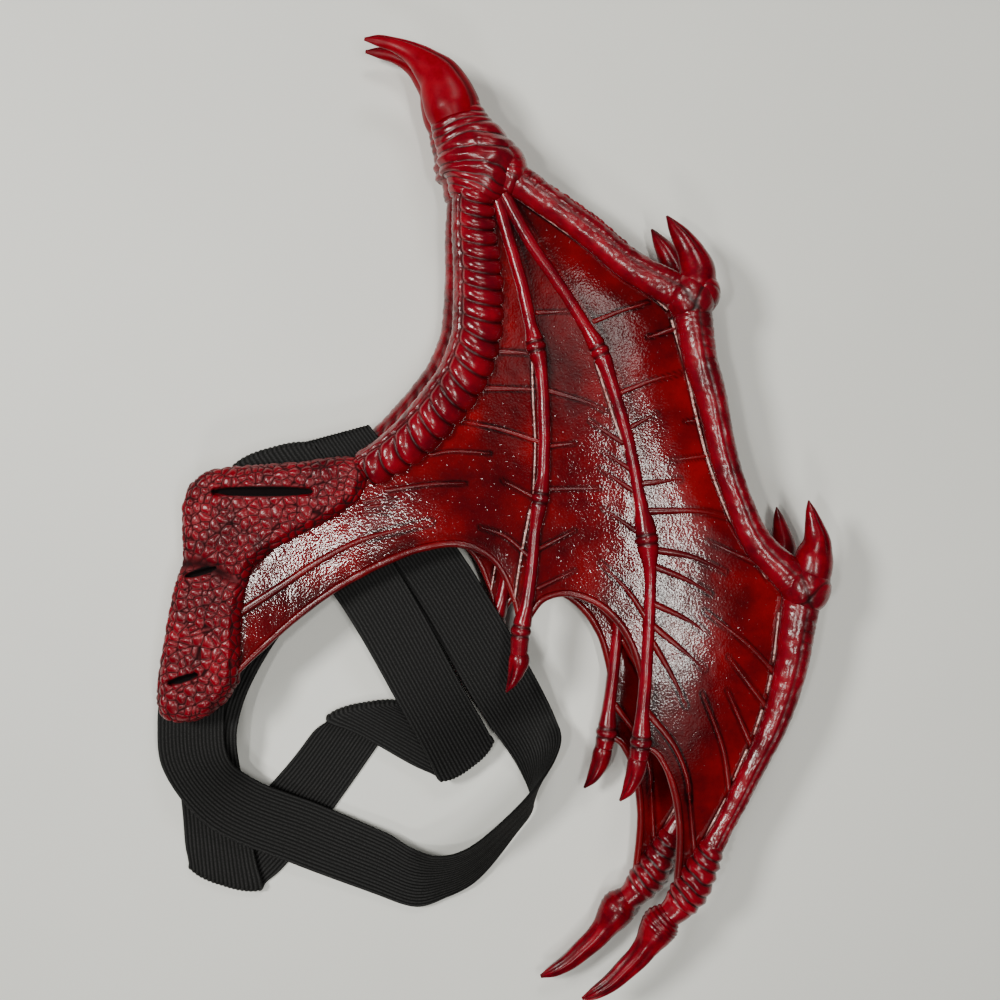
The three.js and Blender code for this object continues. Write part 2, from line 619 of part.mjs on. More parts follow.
function meshOf(name, solid, material, move = (point) => point) {
  const { vertProperties, triVerts } = solid.getMesh();
  const positions = new Float32Array(vertProperties);
  const point = new THREE.Vector3();
  for (let start = 0; start < positions.length; start += 3) {
    move(point.fromArray(positions, start)).toArray(positions, start);
  }
  const geometry = new THREE.BufferGeometry();
  geometry.setAttribute('position', new THREE.BufferAttribute(positions, 3));
  geometry.setIndex(new THREE.BufferAttribute(new Uint32Array(triVerts), 1));
  const mesh = new THREE.Mesh(geometry, material);
  mesh.name = name;
  return mesh;
}

function strapHeight(high) {
  const padTop = padDepth + clearance;
  if (high <= onPad) return high / onPad * padTop;
  return THREE.MathUtils.lerp(padTop, stackRise, (high - onPad) / (100 - onPad));
}

// One line across the strap.
function strapLine(row, high) {
  const turn = THREE.MathUtils.degToRad(row.turn);
  const lean = THREE.MathUtils.degToRad(row.lean);
  const middle = new THREE.Vector3(row.across / 100 * wingWidth, row.up / 100 * wingHeight,
    strapHeight(high) + strapThickness / 2);
  const half = new THREE.Vector3(Math.cos(turn) * Math.cos(lean), Math.sin(turn) * Math.cos(lean),
    Math.sin(lean)).multiplyScalar(row.long * strapWidth / 2);
  return { middle, half };
}

function strap(rows) {
  const lines = [];
  let upFace = 1;
  rows.forEach((row, index) => {
    const line = strapLine(row, row.high);
    const before = strapLine(rows[Math.max(index - 1, 0)], rows[Math.max(index - 1, 0)].high).middle;
    const nextRow = rows[Math.min(index + 1, rows.length - 1)];
    const after = strapLine(nextRow, nextRow.high).middle;
    if (row.foldHigh === undefined) {
      const along = new THREE.Vector3().subVectors(after, before);
      line.facing = new THREE.Vector3().crossVectors(line.half, along).normalize();
      if (line.facing.z * upFace < 0) line.facing.negate();
      lines.push(line);
      return;
    }
    const outward = new THREE.Vector3(line.half.y, -line.half.x, 0).normalize();
    if (outward.dot(new THREE.Vector3().subVectors(line.middle, before)) < 0) outward.negate();
    const drop = strapHeight(row.high) - strapHeight(row.foldHigh);
    const bendSteps = 4;
    for (let step = 0; step <= bendSteps; step += 1) {
      const angle = step / bendSteps * Math.PI;
      const radial = new THREE.Vector3(0, 0, Math.cos(angle) * Math.sign(drop))
        .addScaledVector(outward, Math.sin(angle));
      const middle = line.middle.clone()
        .setZ(line.middle.z - drop / 2)
        .addScaledVector(radial, Math.abs(drop) / 2);
      const facing = radial.clone().multiplyScalar(upFace * Math.sign(drop));
      lines.push({ middle, half: line.half, facing });
    }
    upFace = -upFace;
  });
  const rings = lines.map(({ middle, half, facing }) => [
    [-1, 1], [1, 1], [1, -1], [-1, -1],
  ].map(([side, face]) => middle.clone()
    .addScaledVector(half, side)
    .addScaledVector(facing, face * strapThickness / 2)));
  const geometry = stackRings(rings);
  const solid = solidOf(geometry);
  if (solid.volume() > 0) return solid;
  return solidOf(stackRings(rings.map((ring) => ring.slice().reverse())));
}

const pieces = wingPieces();
const upperWing = new THREE.Group();
upperWing.position.z = stackRise;
const lowerWing = new THREE.Group();
pieces.forEach(({ name, solid, material }) => {
  upperWing.add(meshOf(`upper_${name}`, solid, material));
  lowerWing.add(meshOf(`lower_${name}`, solid, material, tuck));
});

const model = new THREE.Group();
model.add(upperWing, lowerWing);
model.add(meshOf('strap_1', strap(firstStrapRows), blackElastic));
model.add(meshOf('strap_2', strap(secondStrapRows), blackElastic));

// The origin is on the floor, under the middle of the whole thing.
const bounds = new THREE.Box3().setFromObject(model);
model.position.set(-(bounds.min.x + bounds.max.x) / 2, -(bounds.min.y + bounds.max.y) / 2, -bounds.min.z);

export default model;
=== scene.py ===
import math

import bpy
import numpy as np
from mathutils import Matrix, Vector
from mathutils.bvhtree import BVHTree


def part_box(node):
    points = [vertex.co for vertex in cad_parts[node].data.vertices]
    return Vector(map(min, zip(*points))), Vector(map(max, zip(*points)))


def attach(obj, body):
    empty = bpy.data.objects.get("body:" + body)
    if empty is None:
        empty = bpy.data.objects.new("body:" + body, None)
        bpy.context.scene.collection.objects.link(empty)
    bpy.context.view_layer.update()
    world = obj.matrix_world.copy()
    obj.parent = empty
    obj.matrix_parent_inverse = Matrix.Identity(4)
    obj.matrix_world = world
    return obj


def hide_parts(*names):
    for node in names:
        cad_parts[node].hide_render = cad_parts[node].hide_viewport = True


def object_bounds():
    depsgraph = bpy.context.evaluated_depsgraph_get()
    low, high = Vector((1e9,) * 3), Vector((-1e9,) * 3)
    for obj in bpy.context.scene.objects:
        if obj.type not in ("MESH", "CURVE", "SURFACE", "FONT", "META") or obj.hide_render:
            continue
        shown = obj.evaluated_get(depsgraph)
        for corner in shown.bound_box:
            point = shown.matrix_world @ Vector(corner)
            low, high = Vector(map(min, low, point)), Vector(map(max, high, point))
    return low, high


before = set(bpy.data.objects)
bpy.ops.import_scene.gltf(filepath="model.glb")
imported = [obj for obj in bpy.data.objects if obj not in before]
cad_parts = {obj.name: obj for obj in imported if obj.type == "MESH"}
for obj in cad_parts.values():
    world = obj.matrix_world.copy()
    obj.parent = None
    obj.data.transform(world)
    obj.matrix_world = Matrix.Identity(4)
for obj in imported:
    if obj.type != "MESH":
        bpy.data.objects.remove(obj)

# Everything is shaped in millimetres, in the wing's own frame, and goes to metres at the end.
mm = 0.001
cadLow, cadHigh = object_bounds()
print("frame loaded")

# A wing rests on its edges and crowns a little in the middle. Places on it are in percent.
wing = {"width": 492, "height": 707, "seatHeight": 14,
        "crownRise": 8, "crownAcross": 60, "crownUp": 55, "crownReach": 60}
# The lower wing sticks out to the left, and more so past its pad; its turn is in degrees.
lowerWing = {"padTuck": 8, "tuckLeft": 15, "tuckUp": 4, "turn": 2.3, "tuckFrom": 10, "tuckTo": 45,
             "detail": 0.46}
# where the wing's left edge and lower tip lie in the photo, and how many pixels one percent takes
photo = {"left": 153, "foot": 1005, "perAcross": 6.8, "perUp": 9.77}


def middleHeight(x, y):
    acrossOffset = (x / wing["width"] * 100 - wing["crownAcross"]) / wing["crownReach"]
    upOffset = (y / wing["height"] * 100 - wing["crownUp"]) / wing["crownReach"]
    return wing["seatHeight"] + wing["crownRise"] * (1 - acrossOffset ** 2 - upOffset ** 2)


def spot(rows):
    x = np.array([row[0] for row in rows], float) / 100 * wing["width"]
    y = np.array([row[1] for row in rows], float) / 100 * wing["height"]
    return np.stack([x, y, middleHeight(x, y)], 1)


def fromPhoto(pixels):
    return [((x - photo["left"]) / photo["perAcross"], (photo["foot"] - y) / photo["perUp"]) for x, y in pixels]


def smoothstep(low, high, value):
    share = np.clip((value - low) / (high - low), 0, 1)
    return share * share * (3 - 2 * share)


def rise(angle, low, high):
    # from 0 to 1 between two angles in degrees
    return smoothstep(math.radians(low), math.radians(high), angle)


def bell(value, middle, reach):
    return np.exp(-((value - middle) / reach) ** 2)


def zigzag(phase):
    # 0 at every whole number and 1 halfway between
    return 1 - np.abs(2 * (phase % 1) - 1)


def unit(vectors):
    return vectors / np.maximum(np.linalg.norm(vectors, axis=-1, keepdims=True), 1e-9)


# the first knuckle ties the wing's own frame to the CAD
firstKnuckle = (79.1, 72.5)
wingShift = np.add(*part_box("upper_knuckle_1")) / 2 / mm - spot([firstKnuckle])[0]
lowerShift = np.array([*wingShift[:2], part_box("lower_base_pad")[0][2] / mm])


def placeUpper(points):
    return points + wingShift


def placeLower(points):
    share = smoothstep(lowerWing["tuckFrom"], lowerWing["tuckTo"], points[:, 0] / wing["width"] * 100)
    left = lowerWing["padTuck"] + (lowerWing["tuckLeft"] - lowerWing["padTuck"]) * share
    turn = math.radians(lowerWing["turn"]) * share
    moved = points.copy()
    moved[:, 0] += turn * (points[:, 1] - wing["height"] / 2) - left
    moved[:, 1] += lowerWing["tuckUp"] * share - turn * (points[:, 0] - wing["width"] / 2)
    return moved + lowerShift


# Curves, noise and meshes
def smoothPath(points, steps):
    # the same centripetal curve through the points as the CAD's
    points = np.asarray(points, float)
    full = np.vstack([2 * points[0] - points[1], points, 2 * points[-1] - points[-2]])
    at = np.linspace(0, len(points) - 1, steps + 1)
    index = np.minimum(at.astype(int), len(points) - 2)
    t = (at - index)[:, None]
    p0, p1, p2, p3 = (full[index + offset] for offset in range(4))
    d0, d1, d2 = (np.sqrt(np.linalg.norm(b - a, axis=1, keepdims=True)) + 1e-6
                  for a, b in ((p0, p1), (p1, p2), (p2, p3)))
    m1 = ((p1 - p0) / d0 - (p2 - p0) / (d0 + d1) + (p2 - p1) / d1) * d1
    m2 = ((p2 - p1) / d1 - (p3 - p1) / (d1 + d2) + (p3 - p2) / d2) * d1
    return ((2 * t ** 3 - 3 * t ** 2 + 1) * p1 + (t ** 3 - 2 * t ** 2 + t) * m1
            + (3 * t ** 2 - 2 * t ** 3) * p2 + (t ** 3 - t ** 2) * m2)


def lengthsAlong(points):
    return np.concatenate([[0], np.cumsum(np.linalg.norm(np.diff(points, axis=0), axis=1))])


def evenPath(points, count):
    dense = smoothPath(points, 40 * len(points))
    lengths = lengthsAlong(dense)
    at = np.linspace(0, lengths[-1], count)
    return np.stack([np.interp(at, lengths, dense[:, axis]) for axis in range(3)], 1)


noiseHash = {"steps": (374761393, 668265263, 1440662683), "seed": 1274126177, "spread": 1103515245}


def noise(points, size, seed):
    # smooth noise from -1 to 1, with bumps about size millimetres apart
    cell = points / size
    base = np.floor(cell).astype(np.int64)
    part = cell - base
    part = part * part * (3 - 2 * part)
    total = 0
    for corner in range(8):
        offset = np.array([corner & 1, corner >> 1 & 1, corner >> 2 & 1])
        mixed = (((base + offset) & 0xFFFF) * noiseHash["steps"]).sum(axis=-1) + seed * noiseHash["seed"]
        mixed = mixed & 0xFFFFFFFF
        mixed = ((mixed ^ (mixed >> 13)) * noiseHash["spread"]) & 0xFFFFFFFF
        value = ((mixed ^ (mixed >> 16)) & 0xFFFF) / 32767.5 - 1
        total = total + value * np.prod(np.where(offset, part, 1 - part), axis=-1)
    return total


def newObject(name, data):
    made = bpy.data.objects.new(name, data)
    bpy.context.scene.collection.objects.link(made)
    return made


def paintMesh(mesh, paint):
    for key, values in paint.items():
        layer = mesh.attributes.new(key, "FLOAT", "POINT")
        layer.data.foreach_set("value", np.broadcast_to(values, len(mesh.vertices)).astype(np.float32))
    mesh.shade_smooth()


def meshObject(name, points, faces, paint):
    mesh = bpy.data.meshes.new(name)
    mesh.from_pydata((points * mm).tolist(), [], faces)
    paintMesh(mesh, paint)
    mesh.update()
    return newObject(name, mesh)


def ringFaces(rings, sides):
    index = np.arange(rings * sides).reshape(rings, sides)
    after = np.roll(index, -1, axis=1)
    faces = np.stack([index[:-1], index[1:], after[1:], after[:-1]], -1).reshape(-1, 4).tolist()
    first, last = rings * sides, rings * sides + 1
    faces += [(first, side, following) for side, following in zip(index[0].tolist(), after[0].tolist())]
    faces += [(last, following, side) for side, following in zip(index[-1].tolist(), after[-1].tolist())]
    return faces


def shellFaces(rows, columns):
    # a grid of points facing up, the same grid again under it, and the border between them
    index = np.arange(rows * columns).reshape(rows, columns)
    a, b, c, d = index[:-1, :-1], index[:-1, 1:], index[1:, 1:], index[1:, :-1]
    border = np.concatenate([index[0, :-1], index[:-1, -1], index[-1, :0:-1], index[:0:-1, 0]])
    following = np.roll(border, -1)
    under = rows * columns
    return np.vstack([np.stack([a, d, c, b], -1).reshape(-1, 4),
                      np.stack([a, b, c, d], -1).reshape(-1, 4) + under,
                      np.stack([border, following, following + under, border + under], -1)])


def sweptForm(points, halfWidth, halfDepth, sides, relief=None):
    # An oval section along a path. Angle 0 is on the left of the way down the path as seen
    # from above, a quarter turn is the top. relief gives lift in mm and paint values.
    forward = unit(np.gradient(points, axis=0))
    sideways = unit(np.stack([forward[:, 1], -forward[:, 0], 0 * forward[:, 0]], 1))
    upward = np.cross(sideways, forward)
    along = lengthsAlong(points)
    angle = np.arange(sides) / sides * 2 * math.pi

    def ringsWith(lift):
        return (points[:, None] + ((halfWidth[:, None] + lift) * np.cos(angle))[..., None] * sideways[:, None]
                + ((halfDepth[:, None] + lift) * np.sin(angle))[..., None] * upward[:, None])

    lift, paint = 0, {}
    if relief:
        lift, paint = relief(along[:, None] + 0 * angle, angle + 0 * along[:, None], along[-1], ringsWith(0))
    rings = ringsWith(lift)
    full = np.vstack([rings.reshape(-1, 3), rings[0].mean(0), rings[-1].mean(0)])
    painted = {}
    for key, values in paint.items():
        values = np.broadcast_to(values, (len(points), sides))
        painted[key] = np.concatenate([values.reshape(-1), [values[0].mean(), values[-1].mean()]])
    return full, ringFaces(len(points), sides), painted


def joined(parts):
    # several closed forms as one list of points, faces and paint
    points, faces, paint = [], [], {"wash": [], "scaly": [], "dull": [], "pale": []}
    start = 0
    for partPoints, partFaces, partPaint in parts:
        points.append(partPoints)
        faces += [tuple(corner + start for corner in face) for face in partFaces]
        for key in paint:
            paint[key].append(np.broadcast_to(partPaint.get(key, 0.0), len(partPoints)))
        start += len(partPoints)
    return np.vstack(points), faces, {key: np.concatenate(values) for key, values in paint.items()}


# Node trees
def linear(hexText):
    channels = [int(hexText[index:index + 2], 16) / 255 for index in (1, 3, 5)]
    return [*(value / 12.92 if value <= 0.04045 else ((value + 0.055) / 1.055) ** 2.4 for value in channels), 1]


def addNode(tree, kind, settings=None, **inputs):
    # One node. An input is a value or another node's output socket; i2 is input number 2. Stops
    # are the places and colours of a ramp.
    node = tree.nodes.new(kind)
    for key, value in (settings or {}).items():
        if key == "stops":
            for element, (position, hexText) in zip(node.color_ramp.elements, value):
                element.position = position
                element.color = linear(hexText)
        else:
            setattr(node, key, value)
    for key, value in inputs.items():
        socket = node.inputs[int(key[1:])] if key[1:].isdigit() else node.inputs[key.replace("_", " ")]
        if isinstance(value, bpy.types.NodeSocket):
            tree.links.new(value, socket)
        else:
            socket.default_value = value
    return node


def newShader(name):
    material = bpy.data.materials.new(name)
    material.use_nodes = True
    material.node_tree.nodes.clear()
    return material, material.node_tree


# Cast latex, brushed red over black, the paint wiped off the high places and left dark in the grooves, then
# varnished. Mottled red, near-black creases of wash and painted shade, and a broken wet shine. Deep is the
# colour of that wash and painted shade. Sizes are in mm.
latexFinishes = {
    "paintedLatexBone": {
        "deep": "#080001", "mid": "#50030f", "high": "#8e081d", "mottleSize": 22, "grainSize": 1.1,
        "grainDepth": 0.065, "pore": 0.3, "roughness": (0.15, 0.24), "specular": 0.48, "matt": 0.22,
    },
    "paintedLatexPad": {
        "deep": "#080001", "mid": "#50010d", "high": "#8e051b", "mottleSize": 24, "grainSize": 1.6,
        "grainDepth": 0.04, "pore": 0.1, "roughness": (0.1, 0.17), "specular": 0.26, "matt": 1.1,
    },
    "paintedLatexSkin": {
        "deep": "#080001", "mid": "#46030a", "high": "#7d0a12", "mottleSize": 44, "grainSize": 1.5,
        "grainDepth": 0.068, "pore": 0.9, "roughness": (0.06, 0.1), "specular": 0.38, "matt": 0.04,
    },
    "paintedLatexClaw": {
        "deep": "#090001", "mid": "#4c010d", "high": "#8a031a", "mottleSize": 14, "grainSize": 1.9,
        "grainDepth": 0.06, "pore": 0.1, "roughness": (0.16, 0.28), "specular": 0.3, "matt": 0.1,
    },
    "paintedLatexHorn": {
        "deep": "#0c0001", "mid": "#6a0010", "high": "#8e0119", "mottleSize": 26, "grainSize": 2.2,
        "grainDepth": 0.03, "pore": 0.1, "roughness": (0.28, 0.38), "specular": 0.12, "matt": 0.5,
    },
}
# the pale edge colour is a painted highlight along the lips
latexShared = {"speckleSize": 2.6, "poreSpacing": 4.4, "highlightEdge": "#d8aca4", "dullness": 0.14, "ior": 1.5}


def paintedLatex(name):
    look = latexFinishes[name]
    material, tree = newShader(name)
    where = addNode(tree, "ShaderNodeTexCoord").outputs["Object"]
    wash, groove, pale, dull = (addNode(tree, "ShaderNodeAttribute", {"attribute_name": key}).outputs["Fac"]
                                for key in ("wash", "groove", "pale", "dull"))
    mottle = addNode(tree, "ShaderNodeTexNoise", None, Vector=where, Scale=1 / (look["mottleSize"] * mm),
                     Detail=5.0, Roughness=0.62).outputs["Fac"]
    speckle = addNode(tree, "ShaderNodeTexNoise", None, Vector=where, Scale=1 / (latexShared["speckleSize"] * mm),
                      Detail=3.0, Roughness=0.7).outputs["Fac"]
    # the brushed red, with the dark wash and painted shade over it
    red = addNode(tree, "ShaderNodeValToRGB", {"stops": [(0.32, look["mid"]), (0.68, look["high"])]},
                  Fac=mottle).outputs["Color"]
    # dark is the mask of wash and painted shade in creases, on flanks and undersides
    dark = addNode(tree, "ShaderNodeMath", {"operation": "MAXIMUM"}, i0=wash, i1=groove).outputs[0]
    uneven = addNode(tree, "ShaderNodeMath", {"operation": "MULTIPLY_ADD", "use_clamp": True},
                     i0=speckle, i1=0.5, i2=-0.24).outputs[0]
    amount = addNode(tree, "ShaderNodeMath", {"operation": "ADD", "use_clamp": True}, i0=dark,
                     i1=uneven).outputs[0]
    washedAndShaded = addNode(tree, "ShaderNodeMix", {"data_type": "RGBA"}, i0=amount, i6=red,
                     i7=linear(look["deep"])).outputs[2]
    # the thin lips beside the bones are painted pale in broken streaks: a painted highlight
    glintBreaks = addNode(tree, "ShaderNodeMapRange", None, Value=speckle, i1=0.36, i2=0.56).outputs[0]
    paintedGlint = addNode(tree, "ShaderNodeMath", {"operation": "MULTIPLY"}, i0=pale, i1=glintBreaks).outputs[0]
    colour = addNode(tree, "ShaderNodeMix", {"data_type": "RGBA"}, i0=paintedGlint, i6=washedAndShaded,
                     i7=linear(latexShared["highlightEdge"])).outputs[2]
    # where the wash and painted shade lie the surface is rougher, as a wash dries matt
    shine = addNode(tree, "ShaderNodeMapRange", None, Value=mottle, i3=look["roughness"][0],
                    i4=look["roughness"][1]).outputs[0]
    dulled = addNode(tree, "ShaderNodeMath", {"operation": "MULTIPLY_ADD"}, i0=dull, i1=latexShared["dullness"],
                     i2=shine).outputs[0]
    gloss = addNode(tree, "ShaderNodeMath", {"operation": "MULTIPLY_ADD", "use_clamp": True}, i0=dark,
                    i1=look["matt"], i2=dulled).outputs[0]
    grain = addNode(tree, "ShaderNodeTexNoise", None, Vector=where, Scale=1 / (look["grainSize"] * mm),
                    Detail=1.5, Roughness=0.5).outputs["Fac"]
    pits = addNode(tree, "ShaderNodeTexVoronoi", None, Vector=where,
                   Scale=1 / (latexShared["poreSpacing"] * mm)).outputs["Distance"]
    pit = addNode(tree, "ShaderNodeMapRange", None, Value=pits, i1=0.0, i2=0.16, i3=-look["pore"],
                  i4=0.0).outputs[0]
    height = addNode(tree, "ShaderNodeMath", {"operation": "ADD"}, i0=grain, i1=pit).outputs[0]
    bump = addNode(tree, "ShaderNodeBump", None, Height=height, Distance=look["grainDepth"] * mm * 2,
                   Strength=0.8).outputs["Normal"]
    surface = addNode(tree, "ShaderNodeBsdfPrincipled", None, Base_Color=colour, Roughness=gloss, Normal=bump,
                      IOR=latexShared["ior"], Specular_IOR_Level=look["specular"])
    addNode(tree, "ShaderNodeOutputMaterial", None, Surface=surface.outputs[0])
    return material


# Knitted polyester elastic: matt black, with ribs along it and fine stitches across them; the grooves between the
# ribs get a painted shade colour. Sizes in mm.
elastic = {"black": "#0e0e0e", "worn": "#343434", "groove": "#020202", "stitch": 1.1, "fuzz": 0.9,
           "depth": 0.12, "roughness": 0.62, "specular": 0.12}


def ribbedElastic(name):
    material, tree = newShader(name)
    place = addNode(tree, "ShaderNodeUVMap", {"uv_map": "strapPlace"}).outputs["UV"]
    split = addNode(tree, "ShaderNodeSeparateXYZ", None, Vector=place)
    stitches = addNode(tree, "ShaderNodeMath", {"operation": "MULTIPLY"}, i0=split.outputs["Y"],
                       i1=2 * math.pi / (elastic["stitch"] * mm)).outputs[0]
    wave = addNode(tree, "ShaderNodeMath", {"operation": "SINE"}, i0=stitches).outputs[0]
    fuzz = addNode(tree, "ShaderNodeTexNoise", None, Vector=place, Scale=1 / (elastic["fuzz"] * mm),
                   Detail=3.0).outputs["Fac"]
    groove = addNode(tree, "ShaderNodeAttribute", {"attribute_name": "groove"}).outputs["Fac"]
    knit = addNode(tree, "ShaderNodeValToRGB", {"stops": [(0.3, elastic["black"]), (0.7, elastic["worn"])]},
                   Fac=fuzz).outputs["Color"]
    # painted shade in the grooves between the ribs
    colour = addNode(tree, "ShaderNodeMix", {"data_type": "RGBA"}, i0=groove, i6=knit,
                     i7=linear(elastic["groove"])).outputs[2]
    height = addNode(tree, "ShaderNodeMath", {"operation": "MULTIPLY_ADD"}, i0=wave, i1=0.35, i2=fuzz).outputs[0]
    bump = addNode(tree, "ShaderNodeBump", None, Height=height, Distance=elastic["depth"] * mm,
                   Strength=0.7).outputs["Normal"]
    surface = addNode(tree, "ShaderNodeBsdfPrincipled", None, Base_Color=colour, Normal=bump,
                      Roughness=elastic["roughness"], Specular_IOR_Level=elastic["specular"])
    addNode(tree, "ShaderNodeOutputMaterial", None, Surface=surface.outputs[0])
    return material


bone, padSkin, webSkin, clawSkin, hornSkin = latexFinishes
strapKnit = "knittedBlackElastic"
materials = {name: paintedLatex(name) for name in latexFinishes}
materials[strapKnit] = ribbedElastic(strapKnit)
print("materials ready")


def openTree(name, sizes):
    # a geometry tree with its named inputs
    tree = bpy.data.node_groups.new(name, "GeometryNodeTree")
    for label, kind in (("Geometry", "Geometry"), *sizes, ("Material", "Material")):
        tree.interface.new_socket(label, in_out="INPUT", socket_type="NodeSocket" + kind)
    tree.interface.new_socket("Geometry", in_out="OUTPUT", socket_type="NodeSocketGeometry")
    return tree, addNode(tree, "NodeGroupInput").outputs


def closeTree(tree, given, shape):
    real = addNode(tree, "GeometryNodeRealizeInstances", None, Geometry=shape).outputs[0]
    covered = addNode(tree, "GeometryNodeSetMaterial", None, Geometry=real, Material=given["Material"]).outputs[0]
    addNode(tree, "NodeGroupOutput", None, Geometry=covered)
    return tree


def pushedOut(tree, given, lift, groove):
    # the surface moved out along its normals, with the lines between kept for the dark wash and painted shade
    normal = addNode(tree, "GeometryNodeInputNormal").outputs[0]
    push = addNode(tree, "ShaderNodeVectorMath", {"operation": "SCALE"}, i0=normal, Scale=lift).outputs[0]
    kept = addNode(tree, "GeometryNodeStoreNamedAttribute", {"data_type": "FLOAT", "domain": "POINT"},
                   Geometry=given["Geometry"], Name="groove", Value=groove).outputs[0]
    return addNode(tree, "GeometryNodeSetPosition", None, Geometry=kept, Offset=push).outputs[0]


# Scales: every cell of a cellular pattern becomes a low rounded pebble, where the mesh is marked scaly.
def scaleTree():
    tree, given = openTree("pebbleScales", (("Scale Size", "Float"), ("Scale Height", "Float"),
                                           ("Wobble", "Float")))
    position = addNode(tree, "GeometryNodeInputPosition").outputs[0]
    sway = addNode(tree, "ShaderNodeTexNoise", None, Vector=position, Scale=60.0).outputs["Color"]
    reach = addNode(tree, "ShaderNodeCombineXYZ", None, X=given["Wobble"], Y=given["Wobble"], Z=given["Wobble"])
    swayed = addNode(tree, "ShaderNodeVectorMath", {"operation": "MULTIPLY_ADD"}, i0=sway, i1=reach.outputs[0],
                     i2=position).outputs[0]
    perMetre = addNode(tree, "ShaderNodeMath", {"operation": "DIVIDE"}, i0=1.0, i1=given["Scale Size"]).outputs[0]
    edge, middle = (addNode(tree, "ShaderNodeTexVoronoi", {"feature": feature}, Vector=swayed,
                            Scale=perMetre).outputs["Distance"] for feature in ("DISTANCE_TO_EDGE", "F1"))
    rounded = addNode(tree, "ShaderNodeMapRange", {"interpolation_type": "SMOOTHERSTEP"}, Value=edge,
                      i1=0.0, i2=0.2, i3=0.0, i4=1.0).outputs[0]
    dome = addNode(tree, "ShaderNodeMapRange", None, Value=middle, i1=0.0, i2=0.8, i3=1.0, i4=0.3).outputs[0]
    pebble = addNode(tree, "ShaderNodeMath", {"operation": "MULTIPLY"}, i0=rounded, i1=dome).outputs[0]
    marked = addNode(tree, "GeometryNodeInputNamedAttribute", {"data_type": "FLOAT"}, Name="scaly").outputs[0]
    shown = addNode(tree, "ShaderNodeMath", {"operation": "MULTIPLY"}, i0=pebble, i1=marked).outputs[0]
    lift = addNode(tree, "ShaderNodeMath", {"operation": "MULTIPLY"}, i0=shown,
                   i1=given["Scale Height"]).outputs[0]
    # the lines between the pebbles are marked for wash and painted shade
    line = addNode(tree, "ShaderNodeMapRange", {"interpolation_type": "SMOOTHSTEP"}, Value=edge,
                   i1=0.0, i2=0.13, i3=0.95, i4=0.0).outputs[0]
    groove = addNode(tree, "ShaderNodeMath", {"operation": "MULTIPLY"}, i0=line, i1=marked).outputs[0]
    return closeTree(tree, given, pushedOut(tree, given, lift, groove))


# Spurs: small rough horny points along the outer edge of a spar.
def spurTree():
    tree, given = openTree("edgeSpurs", (("Spur Count", "Int"), ("Spur Radius", "Float"),
                                         ("Spur Length", "Float"), ("Seed", "Int")))
    path = addNode(tree, "GeometryNodeMeshToCurve", None, Mesh=given["Geometry"]).outputs[0]
    places = addNode(tree, "GeometryNodeCurveToPoints", {"mode": "COUNT"}, Curve=path, Count=given["Spur Count"])
    ball = addNode(tree, "GeometryNodeMeshIcoSphere", None, Radius=1.0, Subdivisions=2).outputs["Mesh"]
    smooth = addNode(tree, "GeometryNodeSetShadeSmooth", None, Geometry=ball).outputs[0]
    size = addNode(tree, "ShaderNodeCombineXYZ", None, X=given["Spur Radius"], Y=given["Spur Radius"],
                   Z=given["Spur Length"]).outputs[0]
    chance = addNode(tree, "FunctionNodeRandomValue", {"data_type": "FLOAT"}, i2=0.7, i3=1.15,
                     Seed=given["Seed"]).outputs[1]
    sized = addNode(tree, "ShaderNodeVectorMath", {"operation": "SCALE"}, i0=size, Scale=chance).outputs[0]
    spurs = addNode(tree, "GeometryNodeInstanceOnPoints", None, Points=places.outputs["Points"], Instance=smooth,
                    Rotation=places.outputs["Rotation"], Scale=sized).outputs[0]
    return closeTree(tree, given, spurs)


# Ribs: raised cords along a strap, on both faces.
def ribTree():
    tree, given = openTree("strapRibs", (("Rib Count", "Float"), ("Rib Height", "Float")))
    across = addNode(tree, "GeometryNodeInputNamedAttribute", {"data_type": "FLOAT"}, Name="across").outputs[0]
    turns = addNode(tree, "ShaderNodeMath", {"operation": "MULTIPLY"}, i0=across,
                    i1=given["Rib Count"]).outputs[0]
    half = addNode(tree, "ShaderNodeMath", {"operation": "MULTIPLY"}, i0=turns, i1=math.pi).outputs[0]
    wave = addNode(tree, "ShaderNodeMath", {"operation": "SINE"}, i0=half).outputs[0]
    rib = addNode(tree, "ShaderNodeMath", {"operation": "ABSOLUTE"}, i0=wave).outputs[0]
    lift = addNode(tree, "ShaderNodeMath", {"operation": "MULTIPLY"}, i0=rib, i1=given["Rib Height"]).outputs[0]
    # the grooves between the ribs are marked for painted shade
    groove = addNode(tree, "ShaderNodeMapRange", None, Value=rib, i1=0.3, i2=0.95, i3=1.0, i4=0.0).outputs[0]
    return closeTree(tree, given, pushedOut(tree, given, lift, groove))


scaleNodes, spurNodes, ribNodes = scaleTree(), spurTree(), ribTree()


def baked(piece, tree, finish, values):
    # runs a node tree on the piece and keeps the result as its plain mesh
    modifier = piece.modifiers.new(tree.name, "NODES")
    modifier.node_group = tree
    values = {**values, "Material": materials[finish]}
    for item in tree.interface.items_tree:
        if item.in_out == "INPUT" and item.name in values:
            modifier[item.identifier] = values[item.name]
    evaluated = piece.evaluated_get(bpy.context.evaluated_depsgraph_get())
    mesh = bpy.data.meshes.new_from_object(evaluated)
    piece.modifiers.remove(modifier)
    piece.data = mesh


def finishPiece(piece, finish, node=None, scales=None):
    # scales are their size and height in mm
    if scales:
        baked(piece, scaleNodes, finish, {"Scale Size": scales[0] * mm, "Scale Height": scales[1] * mm,
                                          "Wobble": 0.6 * mm})
    piece.data.materials.clear()
    piece.data.materials.append(materials[finish])
    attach(piece, "root")
    if node:
        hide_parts(node)


